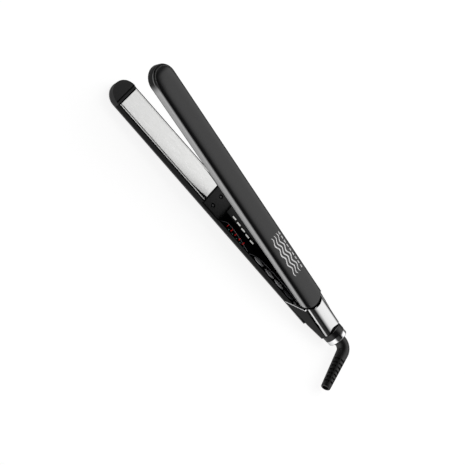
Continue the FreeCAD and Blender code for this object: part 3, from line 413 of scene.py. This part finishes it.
def upperLid():
    # the charcoal lid: flat along its middle and crowned towards its edges
    lid = {"seamHalf": 12.6, "seamDown": 1.46, "power": 4, "cuts": 11, "edge": 0.12,
           "dishLength": 20, "dishStart": 10, "dishDown": 1.1, "dishPower": 2,
           "shoulderIn": 9, "shoulder": 5, "skin": 0.15, "rows": 5, "rowStep": 3}
    mesh = copyNode("upper_cover")
    bmesh.ops.transform(mesh, matrix=toClosed, verts=mesh.verts)
    half = lid["seamHalf"] * mm
    cutAcross(mesh, 1, [side * half * i / lid["cuts"] for i in range(1, lid["cuts"])
                        for side in (-1, 1)])
    noseX = lidLow.x + armHalf
    cutAcross(mesh, 0, [noseX - half * i / lid["cuts"] for i in range(lid["cuts"])])
    cutAcross(mesh, 0, [noseX + i * lid["rowStep"] * mm for i in range(1, lid["rows"] + 1)])
    bmesh.ops.triangulate(mesh, faces=[face for face in mesh.faces if len(face.verts) > 4])
    shoulder = lid["shoulder"] * mm
    for vert in mesh.verts:
        out = math.hypot(min(0, vert.co.x - noseX), vert.co.y)
        arc = math.sqrt(max(0, 1 - (max(0, out - lid["shoulderIn"] * mm) / shoulder) ** 2))
        was = lidHigh.z - shoulder * (1 - arc)
        behind = vert.co.x - noseX + lid["dishStart"] * mm
        near = min(1, max(0, 1 - behind / (lid["dishLength"] * mm)))
        power = lid["power"] + (lid["dishPower"] - lid["power"]) * near
        down = (lid["seamDown"] + lid["dishDown"] * near) * mm
        now = lidHigh.z - down * min(1, out / half) ** power
        if abs(vert.co.z - was) < lid["skin"] * mm and out < half:
            vert.co.z = min(vert.co.z, now)
    sinkNose(mesh)
    return makePiece("upperLid", mesh, "upper_arm", "lidLacquer",
                     place=toOpen, replaces=("upper_cover",), edge=lid["edge"] * mm)


def sideBand():
    # the silver side of the upper arm, with a fine groove above its lower lip
    groove = {"above": 0.7, "width": 0.45, "depth": 0.5, "facing": 0.5}
    mesh = copyNode("upper_side_band")
    bmesh.ops.transform(mesh, matrix=toPlane @ toClosed, verts=mesh.verts)
    low, high = groove["above"] * mm, (groove["above"] + groove["width"]) * mm
    cutAcross(mesh, 2, (low, high))
    noseX = (toPlane @ Vector((lidLow.x + armHalf, 0, 0))).x
    chosen = []
    for face in mesh.faces:
        middle = face.calc_center_median()
        outward = Vector((min(middle.x - noseX, 0), middle.y, 0))
        facing = outward.dot(face.normal) > groove["facing"] * outward.length
        if low < middle.z < high and facing:
            chosen.append(face)
    made = bmesh.ops.extrude_face_region(mesh, geom=chosen)["geom"]
    for vert in [item for item in made if isinstance(item, bmesh.types.BMVert)]:
        outward = Vector((min(vert.co.x - noseX, 0), vert.co.y, 0)).normalized()
        vert.co -= outward * groove["depth"] * mm
    bmesh.ops.delete(mesh, geom=[face for face in chosen if face.is_valid], context="FACES")
    bmesh.ops.transform(mesh, matrix=fromPlane, verts=mesh.verts)
    sinkNose(mesh)
    makePiece("sideBand", mesh, "upper_arm", "bandSilverPaintedShadeAndHighlight",
              place=toOpen, replaces=("upper_side_band",))


def lowerTipCap():
    # the lower tip: a D-shaped face with a bar across it between two steps
    steps = {"front": 12.9, "barFront": 14.3, "barRear": 14.8, "rear": 16.6, "deep": 1.4,
             "flat": 0.9, "skin": 0.5, "edge": 0.12}
    mesh = copyNode("lower_tip_cap")
    bmesh.ops.transform(mesh, matrix=toPlane, verts=mesh.verts)
    tip = min(vert.co.x for vert in mesh.verts)
    top = max(vert.co.z for vert in mesh.verts)
    cutAcross(mesh, 0, [tip + steps[name] * mm
                        for name in ("front", "barFront", "barRear", "rear")])
    sunk = []
    for face in mesh.faces:
        middle = face.calc_center_median()
        along = (middle.x - tip) / mm
        between = (steps["front"] < along < steps["barFront"]
                   or steps["barRear"] < along < steps["rear"])
        if between and face.normal.z > steps["flat"] and middle.z > top - steps["skin"] * mm:
            sunk.append(face)
    # the sunk faces take the darker second finish: painted shade in the recesses
    for face in sunk:
        face.material_index = 1
    made = bmesh.ops.extrude_face_region(mesh, geom=sunk)["geom"]
    bmesh.ops.translate(mesh, vec=(0, 0, -steps["deep"] * mm),
                        verts=[item for item in made if isinstance(item, bmesh.types.BMVert)])
    bmesh.ops.delete(mesh, geom=[face for face in sunk if face.is_valid], context="FACES")
    makePiece("lowerTipCap", mesh, "lower_arm", "capResin",
              place=fromPlane, replaces=("lower_tip_cap",), edge=steps["edge"] * mm,
              second="darkResinAndPaintedShade")


def hingeCap():
    # the bright cap over the hinge, crowned from side to side
    cap = {"foot": 5, "power": 2.3, "cuts": 12, "edge": 0.2, "lowest": 3.6}
    mesh = copyNode("upper_hinge_cap")
    bmesh.ops.transform(mesh, matrix=toClosed, verts=mesh.verts)
    half = max(vert.co.y for vert in mesh.verts)
    top = max(vert.co.z for vert in mesh.verts)
    tall = cap["foot"] * mm
    cutAcross(mesh, 1, [side * half * math.sin(math.pi / 2 * i / cap["cuts"])
                        for i in range(1, cap["cuts"]) for side in (-1, 1)])
    bmesh.ops.triangulate(mesh, faces=[face for face in mesh.faces if len(face.verts) > 4])
    for vert in mesh.verts:
        across = min(1, abs(vert.co.y) / half)
        crown = (1 - across ** cap["power"]) ** (1 / cap["power"])
        vert.co.z = min(vert.co.z, max(top - tall + tall * crown, top - cap["lowest"] * mm))
    makePiece("hingeCap", mesh, "upper_arm", "capChrome", place=toOpen,
              replaces=("upper_hinge_cap",), edge=cap["edge"] * mm)


def cheekTrim():
    # the bright line along each cheek's rising edge, standing a little proud
    trim = {"proud": 0.16, "edge": 0.12}
    mesh = copyNode("cheek_trim")
    mesh.normal_update()
    for vert in mesh.verts:
        vert.co += vert.normal * trim["proud"] * mm
    makePiece("cheekTrim", mesh, "lower_arm", "chrome", replaces=("cheek_trim",),
              edge=trim["edge"] * mm)


hingeCap()
cheekTrim()
lidPiece = upperLid()
lowerTipCap()
sideBand()
print("casings made")


def heatingPlate(arm, place, sign):
    # a flat face with curved rear corners, a fine lip along each side and a groove between, its
    # dark floor painted shade
    shape = {"flatHalf": 11.3, "lipIn": 11.75, "lipTop": 0.9, "grooveFloor": 1.9, "base": 2.8,
             "tab": 1.3, "curveLength": 30, "curveIn": 2.5, "steps": 48, "faceEdge": 0.3,
             "lipEdge": 0.2, "baseEdge": 0.15}
    low, high = corners(arm + "_plate", (toPlane if sign < 0 else toPlane @ toClosed))
    front, rear, half = low.x + shape["tab"] * mm, high.x - shape["tab"] * mm, high.y
    flip = Matrix.Scale(sign, 4, (0, 0, 1))
    curve = shape["curveLength"] * mm

    def add(name, mesh, finish, edge, replaced=()):
        bmesh.ops.transform(mesh, matrix=flip, verts=mesh.verts)
        bmesh.ops.recalc_face_normals(mesh, faces=mesh.faces)
        makePiece(arm + name, mesh, arm + "_plate", finish, place,
                  replaces=replaced, edge=edge * mm, segments=3)

    face = blockMesh((front, -shape["flatHalf"] * mm, contactGap),
                     (rear, shape["flatHalf"] * mm, shape["grooveFloor"] * mm))
    for step in range(1, shape["steps"]):
        everything = face.verts[:] + face.edges[:] + face.faces[:]
        bmesh.ops.bisect_plane(face, geom=everything, dist=seams["weld"],
                               plane_co=(rear - curve * step / shape["steps"], 0, 0),
                               plane_no=(1, 0, 0))
    for vert in face.verts:
        along = max(0, vert.co.x - (rear - curve)) / curve
        vert.co.y *= 1 - along ** 2 * shape["curveIn"] / shape["flatHalf"]
    add("PlateFace", face, "plateTitanium", shape["faceEdge"])

    lips = joinMeshes([blockMesh((front, min(side * shape["lipIn"] * mm, side * half),
                                  shape["lipTop"] * mm),
                                 (rear, max(side * shape["lipIn"] * mm, side * half),
                                  shape["grooveFloor"] * mm)) for side in (-1, 1)])
    add("PlateLips", lips, "plateTitanium", shape["lipEdge"])

    # the base shows only as the groove's floor, where its dark resin is painted shade
    base = blockMesh((front, -half, shape["grooveFloor"] * mm), (rear, half, shape["base"] * mm))
    add("PlateBase", base, "darkResinAndPaintedShade", shape["baseEdge"], (arm + "_plate",))


heatingPlate("lower", fromPlane, -1)
heatingPlate("upper", fromUpperPlane, 1)
print("plates made")


def blockScrews(arm, place, sign):
    # two countersunk screws with six-lobed sockets
    screw = {"head": 2.2, "height": 1.2, "segments": 48, "rimIn": 0.25, "rimUp": 0.18,
             "coneIn": 1.05, "coneDown": 0.1, "socket": 0.85, "lobes": 6, "lobe": 0.2,
             "deep": 0.8, "outerShare": 0.98}
    low, high = corners(arm + "_block_screws", (toPlane if sign < 0 else toPlane @ toClosed))
    middleX = (low.x + high.x) / 2
    spacing = high.y - screw["head"] * mm
    top = high.z if sign < 0 else low.z
    heads = []
    for side in (-1, 1):
        mesh = bmesh.new()
        bmesh.ops.create_circle(mesh, cap_ends=True, radius=screw["head"] * mm,
                                segments=screw["segments"])
        cap = mesh.faces[:]
        bmesh.ops.inset_region(mesh, faces=cap, thickness=screw["rimIn"] * mm,
                               depth=screw["rimUp"] * mm)
        bmesh.ops.inset_region(mesh, faces=cap, thickness=screw["coneIn"] * mm,
                               depth=-screw["coneDown"] * mm)
        for vert in cap[0].verts:
            angle = math.atan2(vert.co.y, vert.co.x)
            reach = screw["socket"] * (1 + screw["lobe"] * math.cos(screw["lobes"] * angle)) * mm
            vert.co.xy = vert.co.xy.normalized() * reach
        made = bmesh.ops.extrude_discrete_faces(mesh, faces=cap)["faces"]
        bmesh.ops.translate(mesh, vec=(0, 0, -screw["deep"] * mm), verts=made[0].verts)
        wall = [line for line in mesh.edges if line.is_boundary and abs(line.verts[0].co.z) < 1e-9
                and line.verts[0].co.xy.length > screw["head"] * mm * screw["outerShare"]]
        skirt = bmesh.ops.extrude_edge_only(mesh, edges=wall)["geom"]
        bmesh.ops.translate(mesh, vec=(0, 0, -screw["height"] * mm),
                            verts=[item for item in skirt if isinstance(item, bmesh.types.BMVert)])
        openEdges = [line for line in mesh.edges if line.is_boundary]
        bmesh.ops.holes_fill(mesh, edges=openEdges, sides=0)
        bmesh.ops.recalc_face_normals(mesh, faces=mesh.faces)
        if sign > 0:
            bmesh.ops.rotate(mesh, matrix=Matrix.Rotation(math.pi, 3, "X"), verts=mesh.verts)
        bmesh.ops.translate(mesh, vec=(middleX, side * spacing, top), verts=mesh.verts)
        heads.append(mesh)
    makePiece(arm + "BlockScrews", joinMeshes(heads), arm + "_arm", "screwBlack", place,
              replaces=(arm + "_block_screws",))


blockScrews("lower", fromPlane, -1)
blockScrews("upper", fromUpperPlane, 1)
print("screws made")


def surfaceOf(piece):
    # what a piece's finished surface answers to a ray from above
    depsgraph = bpy.context.evaluated_depsgraph_get()
    return BVHTree.FromObject(piece, depsgraph)


panelTree = surfaceOf(dressed["control_panel"])
tipX = lidLow.x
aboveAll = 0.1      # a height over every part of the object, in metres


def dropOn(tree, spot, lift):
    # the point of a surface under a spot, lifted off it, and the surface's direction there
    hit, normal, _, _ = tree.ray_cast(Vector((spot.x, spot.y, aboveAll)), Vector((0, 0, -1)))
    return hit + normal * lift, normal


def beadAlong(name, spots, radius):
    # a fine raised line moulded on the panel, through a few points (mm from the tip, mm across)
    bead = bpy.data.curves.new(name, "CURVE")
    bead.dimensions = "3D"
    bead.bevel_depth = radius * mm
    bead.bevel_resolution = 2
    bead.resolution_u = 10
    bead.use_fill_caps = True
    spline = bead.splines.new("NURBS")
    spline.points.add(len(spots) - 1)
    for point, (along, across) in zip(spline.points, spots):
        place, _ = dropOn(panelTree, Vector((tipX + along * mm, across * mm, 0)), 0)
        point.co = (*place, 1)
    spline.order_u = 4
    spline.use_endpoint_u = True
    holder = bpy.data.objects.new(name + "Line", bead)
    data = bpy.data.meshes.new_from_object(holder)
    bpy.data.objects.remove(holder)
    mesh = bmesh.new()
    mesh.from_mesh(data)
    bpy.data.meshes.remove(data)
    # the bead's grey paint is a painted highlight along the panel's rim
    makePiece(name, mesh, "lower_arm", "rimBeadPaintedHighlight")


# the lamps' zone and the keys' zone each have a scalloped rim on the side of the panel
rims = {
    "lampZoneRim": [(163, -12.6), (165, -10.4), (169, -9.2), (176, -9.3), (184, -10.0),
                    (192, -11.2), (198, -12.2), (202, -13.0)],
    "keyZoneRim": [(205, -13.1), (208, -11.4), (213, -9.7), (222, -8.9), (232, -8.7),
                   (242, -8.4), (252, -8.3), (262, -8.6), (269, -9.2)],
}
rimRadius = 0.22
for rimName, rimSpots in rims.items():
    beadAlong(rimName, rimSpots, rimRadius)


def labelRow(name, words, finish, size, first, last):
    # small printed figures down the side of the panel, one for each lamp
    ink = {"spread": 0.06, "thick": 0.02, "lift": 0.02, "smooth": 3}
    meshes = []
    for i, word in enumerate(words):
        share = i / (len(words) - 1)
        along = first[0] + (last[0] - first[0]) * share
        across = first[1] + (last[1] - first[1]) * share
        text = bpy.data.curves.new(name, "FONT")
        text.body = word
        text.size = size * mm
        text.align_x = "CENTER"
        text.align_y = "CENTER"
        text.offset = ink["spread"] * mm
        text.extrude = ink["thick"] * mm
        text.resolution_u = ink["smooth"]
        holder = bpy.data.objects.new(name + "Text", text)
        data = bpy.data.meshes.new_from_object(holder)
        bpy.data.objects.remove(holder)
        mesh = bmesh.new()
        mesh.from_mesh(data)
        bpy.data.meshes.remove(data)
        spot = Vector((tipX + along * mm, across * mm, 0))
        place, normal = dropOn(panelTree, spot, ink["lift"] * mm)
        side = Vector((0, 0, 1)).cross(normal).normalized() if normal.y else Vector((1, 0, 0))
        turn = Matrix((side, normal.cross(side), normal)).transposed().to_4x4()
        bmesh.ops.transform(mesh, matrix=Matrix.Translation(place) @ turn, verts=mesh.verts)
        meshes.append(mesh)
    makePiece(name, joinMeshes(meshes), "lower_arm", finish)


labelRow("lampFigures", "12345", "inkRed", 3.5, (170.5, -10.9), (193.5, -11.3))
labelRow("lampMarks", "-----", "inkTeal", 4.6, (173.8, -12.3), (196.5, -12.6))


def domeKey(number):
    # a lens-shaped key: its top swells, with a soft rim round it
    dome = {"rim": 0.45, "swell": 0.16, "crown": 0.9, "rise": 0.1, "edge": 0.18}
    node = f"button_{number}"
    mesh = copyNode(node)
    press = -Vector(joints[node + "_press"]["axis"])
    top = max((face for face in mesh.faces if face.normal.dot(press) > 0.9),
              key=lambda face: face.calc_area())
    bmesh.ops.inset_region(mesh, faces=[top], thickness=dome["rim"] * mm, depth=dome["swell"] * mm)
    bmesh.ops.inset_region(mesh, faces=[top], thickness=dome["crown"] * mm,
                           depth=dome["rise"] * mm)
    finish = "buttonDark" if number == 4 else "buttonSilver"
    makePiece(f"key{number}", mesh, bodyOf[node], finish, replaces=(node,),
              edge=dome["edge"] * mm)


for number in (1, 2, 3, 4):
    domeKey(number)
print("keys and labels made")


def lidMark():
    # three wavy heat lines and a row of short bars, in silver ink
    mark = {"start": 199, "length": 46, "rows": (-3.6, 0.4, 4.4), "wide": 1.5, "wave": 1.1,
            "waves": 4, "steps": 96, "bars": 9, "barRow": 8.4, "barLong": 3.4, "barWide": 1.1,
            "lift": 0.03, "ink": 0.03, "taperPower": 0.4, "taperEnd": 0.2, "taperSpan": 0.8,
            "above": 5}
    tree = surfaceOf(lidPiece)
    meshes = []
    for row in mark["rows"]:
        mesh = bmesh.new()
        bmesh.ops.create_grid(mesh, x_segments=mark["steps"], y_segments=2, size=0.5)
        for vert in mesh.verts:
            along = vert.co.x + 0.5
            bend = math.sin(along * mark["waves"] * 2 * math.pi)
            swell = math.sin(math.pi * min(1, max(0, along))) ** mark["taperPower"]
            taper = swell * mark["taperSpan"] + mark["taperEnd"]
            vert.co.y = row + mark["wave"] * bend + vert.co.y * mark["wide"] * taper
            vert.co.x = mark["start"] + mark["length"] * along
        meshes.append(mesh)
    gap = mark["length"] / mark["bars"]
    for i in range(mark["bars"]):
        mesh = bmesh.new()
        bmesh.ops.create_grid(mesh, x_segments=3, y_segments=2, size=0.5)
        for vert in mesh.verts:
            vert.co.x = mark["start"] + gap * (i + 0.5) + vert.co.x * mark["barLong"]
            vert.co.y = mark["barRow"] + vert.co.y * mark["barWide"]
        meshes.append(mesh)
    mesh = joinMeshes(meshes)
    for vert in mesh.verts:
        spot = toOpen @ Vector((tipX + vert.co.x * mm, vert.co.y * mm, lidHigh.z))
        up = toOpen.to_3x3() @ Vector((0, 0, 1))
        hit, normal, _, _ = tree.ray_cast(spot + up * mark["above"] * mm, -up)
        vert.co = hit + normal * mark["lift"] * mm
    bmesh.ops.recalc_face_normals(mesh, faces=mesh.faces)
    made = makePiece("lidMark", mesh, "upper_arm", "inkSilver")
    skin = made.modifiers.new("inkThickness", "SOLIDIFY")
    skin.thickness = mark["ink"] * mm
    skin.offset = 0


lidMark()
print("mark made")


def strainRelief():
    # a rubber elbow and tapered sleeve swept along one line, with rows of slots in the sleeve
    relief = {"neck": 5.2, "elbow": 6.3, "bend": 9.5, "turn": 79, "lead": 3, "sleeve": 42,
              "end": 4.8, "bore": 3.2, "boreDeep": 14, "round": 1.0, "segments": 64,
              "slots": 7, "slotPitch": 4.3, "slotWide": 1.9, "slotFirst": 9, "slotDeep": 1.5,
              "slotSpan": 62, "slotTilt": 15, "slotWall": 0.05, "bridge": 9, "neckOut": 0.3,
              "step": 0.01, "chamfer": 0.5, "beforeBend": 0.4, "boreChamfer": 0.3,
              "arcSteps": 16, "roundSteps": 4}
    ringLow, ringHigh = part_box("tail_ring")
    axisZ = joints["cord_swivel"]["pos_m"][2]
    turn = math.radians(relief["turn"])
    start = ringHigh.x + relief["lead"] * mm
    bend = relief["bend"] * mm
    arc = bend * turn
    slots = [relief["slotFirst"] + relief["slotPitch"] * i for i in range(relief["slots"])]

    def placeAt(along):
        # the sweep's frame a distance along it, where 0 is the start of the bend
        angle = min(max(along / bend, 0), turn)
        spot = Vector((start + bend * math.sin(angle) + min(along, 0),
                       -bend * (1 - math.cos(angle)), axisZ))
        straight = max(0, along - arc)
        spot += Vector((math.cos(turn), -math.sin(turn), 0)) * straight
        return Matrix.Translation(spot) @ Matrix.Rotation(-angle, 4, "Z")

    # distance along the sweep, radius, and how much of the slots' depth is cut there
    neckEnd = ringHigh.x - start + relief["neckOut"] * mm
    rings = [(ringLow.x - start, relief["neck"], 0), (neckEnd, relief["neck"], 0),
             (neckEnd + relief["step"] * mm, relief["elbow"] - relief["chamfer"], 0),
             (neckEnd + relief["chamfer"] * mm, relief["elbow"], 0),
             (-relief["beforeBend"] * mm, relief["elbow"], 0)]
    rings += [(arc * i / relief["arcSteps"], relief["elbow"], 0)
              for i in range(relief["arcSteps"] + 1)]
    taper = (relief["elbow"] - relief["end"]) / relief["sleeve"]

    def sleeveRadius(along):
        return relief["elbow"] - taper * along

    for slot in slots:
        far = slot + relief["slotWide"]
        for along, cut in ((slot - relief["slotWall"], 0), (slot, 1), (far, 1),
                           (far + relief["slotWall"], 0)):
            rings.append((arc + along * mm, sleeveRadius(along), cut))
    for i in range(relief["roundSteps"] + 1):
        angle = math.pi / 2 * i / relief["roundSteps"]
        back = relief["round"] * (1 - math.sin(angle))
        rings.append((arc + (relief["sleeve"] - back) * mm,
                      relief["end"] - relief["round"] * (1 - math.cos(angle)), 0))
    rings.append((arc + relief["sleeve"] * mm, relief["bore"] + relief["boreChamfer"], 0))
    rings.append((arc + (relief["sleeve"] - relief["boreChamfer"]) * mm, relief["bore"], 0))
    rings.append((arc + (relief["sleeve"] - relief["boreDeep"]) * mm, relief["bore"], 0))

    mesh = bmesh.new()
    made = bmesh.ops.create_circle(mesh, cap_ends=False, radius=1, segments=relief["segments"])
    loop = made["verts"]
    shapes = [vert.co.copy() for vert in loop]
    edges = mesh.edges[:]
    for number, (along, radius, cut) in enumerate(rings):
        if number:
            ring = bmesh.ops.extrude_edge_only(mesh, edges=edges)["geom"]
            loop = [item for item in ring if isinstance(item, bmesh.types.BMVert)]
            edges = [item for item in ring if isinstance(item, bmesh.types.BMEdge)]
        turned = placeAt(along)
        for vert, shape in zip(loop, shapes):
            angle = math.degrees(math.atan2(shape.x, shape.y)) + relief["slotTilt"]
            folded = abs((angle + 90) % 180 - 90)
            inSlot = relief["bridge"] < folded < relief["slotSpan"]
            reach = radius - (relief["slotDeep"] if cut and inSlot else 0)
            vert.co = turned @ Vector((0, shape.x * reach * mm, shape.y * reach * mm))
    openEdges = [line for line in mesh.edges if line.is_boundary]
    bmesh.ops.holes_fill(mesh, edges=openEdges, sides=0)
    bmesh.ops.recalc_face_normals(mesh, faces=mesh.faces)
    makePiece("strainRelief", mesh, "strain_relief", "rubber",
              replaces=("strain_relief",))


strainRelief()
print("strain relief made")


def makeFloor():
    # a pale card that glows softly; it is kept out of reflections and out of bounced light
    card = {"half": 3, "down": 0.02, "colour": "#8c8c8c", "rough": 0.75, "glow": 0.86}
    mesh = bmesh.new()
    bmesh.ops.create_grid(mesh, x_segments=1, y_segments=1, size=card["half"])
    data = bpy.data.meshes.new("studioFloor")
    mesh.to_mesh(data)
    mesh.free()
    floor = bpy.data.objects.new("studioFloor", data)
    floor.location.z = -card["down"] * mm
    scene.collection.objects.link(floor)
    made, tree, shader = newMaterial("paleCard", card["colour"], card["rough"])
    shader.inputs["Emission Color"].default_value = linear("#ffffff")
    shader.inputs["Emission Strength"].default_value = card["glow"]
    addGrain(tree, shader, 1.2, 0.01, 0.1)
    data.materials.append(made)
    floor.visible_glossy = False
    floor.visible_diffuse = False


def makeSky():
    # the studio as one curve of brightness, from the floor in front, over the top, to the back:
    # a low strip in front, black overhead, a large softbox behind; it is pale where it is seen
    studio = ((0, 0.1), (0.25, 0.4), (0.4, 0.65), (0.47, 0.8), (0.52, 1.0), (0.57, 0.75),
              (0.61, 0.05), (0.77, 0.01), (0.83, 0.9), (0.88, 1.0), (0.94, 1.0), (0.98, 0.1),
              (1, 0.05))
    glowing = {"sideFrom": -0.15, "sideTo": 0.1, "sideDim": 0.1, "aboveFrom": 0.7,
               "aboveTo": 0.78, "bright": 1.3, "seen": 0.97}
    sky = bpy.data.worlds.new("studio")
    scene.world = sky
    sky.use_nodes = True
    tree = sky.node_tree
    back = tree.nodes["Background"]
    back.inputs["Color"].default_value = linear("#ffffff")
    place = addNode(tree, "ShaderNodeTexCoord")
    axes = addNode(tree, "ShaderNodeSeparateXYZ", {"Vector": (place, "Generated")})
    front = addNode(tree, "ShaderNodeMath", {0: (axes, 1), 1: -1.0}, operation="MULTIPLY")
    around = addNode(tree, "ShaderNodeMath", {0: (axes, 2), 1: (front, 0)}, operation="ARCTAN2")
    turn = addNode(tree, "ShaderNodeMapRange",
                   {"Value": (around, 0), "From Min": -math.pi, "From Max": math.pi})
    curve = addNode(tree, "ShaderNodeValToRGB", {"Fac": (turn, 0)})
    stops = curve.color_ramp.elements
    stops[0].position, stops[1].position = studio[0][0], studio[-1][0]
    for position, _ in studio[1:-1]:
        stops.new(position)
    for stop, (_, bright) in zip(stops, studio):
        stop.color = (bright, bright, bright, 1)
    side = addNode(tree, "ShaderNodeMapRange",
                   {"Value": (axes, 0), "From Min": glowing["sideFrom"],
                    "From Max": glowing["sideTo"], "To Min": glowing["sideDim"],
                    "To Max": 1.0}, interpolation_type="SMOOTHSTEP")
    above = addNode(tree, "ShaderNodeMapRange",
                    {"Value": (turn, 0), "From Min": glowing["aboveFrom"],
                     "From Max": glowing["aboveTo"]})
    shade = addNode(tree, "ShaderNodeMix", {0: (above, 0), 2: 1.0, 3: (side, 0)})
    shaped = addNode(tree, "ShaderNodeMath", {0: (curve, 0), 1: (shade, 0)},
                     operation="MULTIPLY")
    glow = addNode(tree, "ShaderNodeMath", {0: (shaped, 0), 1: glowing["bright"]},
                   operation="MULTIPLY")
    path = addNode(tree, "ShaderNodeLightPath")
    seen = addNode(tree, "ShaderNodeMix",
                   {0: (path, "Is Camera Ray"), 2: (glow, 0), 3: glowing["seen"]})
    tree.links.new(seen.outputs[0], back.inputs["Strength"])


def makeFill():
    # one large soft light from behind and above, left out of reflections
    fill = {"place": (0.1, 0.5, 1.4), "target": (0, 0, 0), "size": 1.6, "power": 8}
    light = bpy.data.lights.new("topFill", "AREA")
    light.energy = fill["power"]
    light.size = fill["size"]
    made = bpy.data.objects.new("topFill", light)
    made.location = fill["place"]
    aim = Vector(fill["target"]) - Vector(fill["place"])
    made.rotation_euler = aim.to_track_quat("-Z", "Y").to_euler()
    made.visible_glossy = False
    scene.collection.objects.link(made)


def makeCamera():
    view = {"azimuth": -20.58, "elevation": 54.63, "roll": 65.99, "distance": 1.508,
            "target": (0.0327, -0.0042, 0), "lens": 120.93, "sensor": 36}
    lens = bpy.data.cameras.new("camera")
    lens.sensor_width = view["sensor"]
    lens.lens = view["lens"]
    lens.clip_start = 0.01
    camera = bpy.data.objects.new("camera", lens)
    swing = Matrix.Rotation(math.radians(view["azimuth"]), 4, "Z")
    tilt = Matrix.Rotation(math.radians(90 - view["elevation"]), 4, "X")
    roll = Matrix.Rotation(math.radians(view["roll"]), 4, "Z")
    back = Matrix.Translation((0, 0, view["distance"]))
    camera.matrix_world = Matrix.Translation(view["target"]) @ swing @ tilt @ roll @ back
    scene.collection.objects.link(camera)
    scene.camera = camera


makeFloor()
makeSky()
makeFill()
makeCamera()
print("stage made")
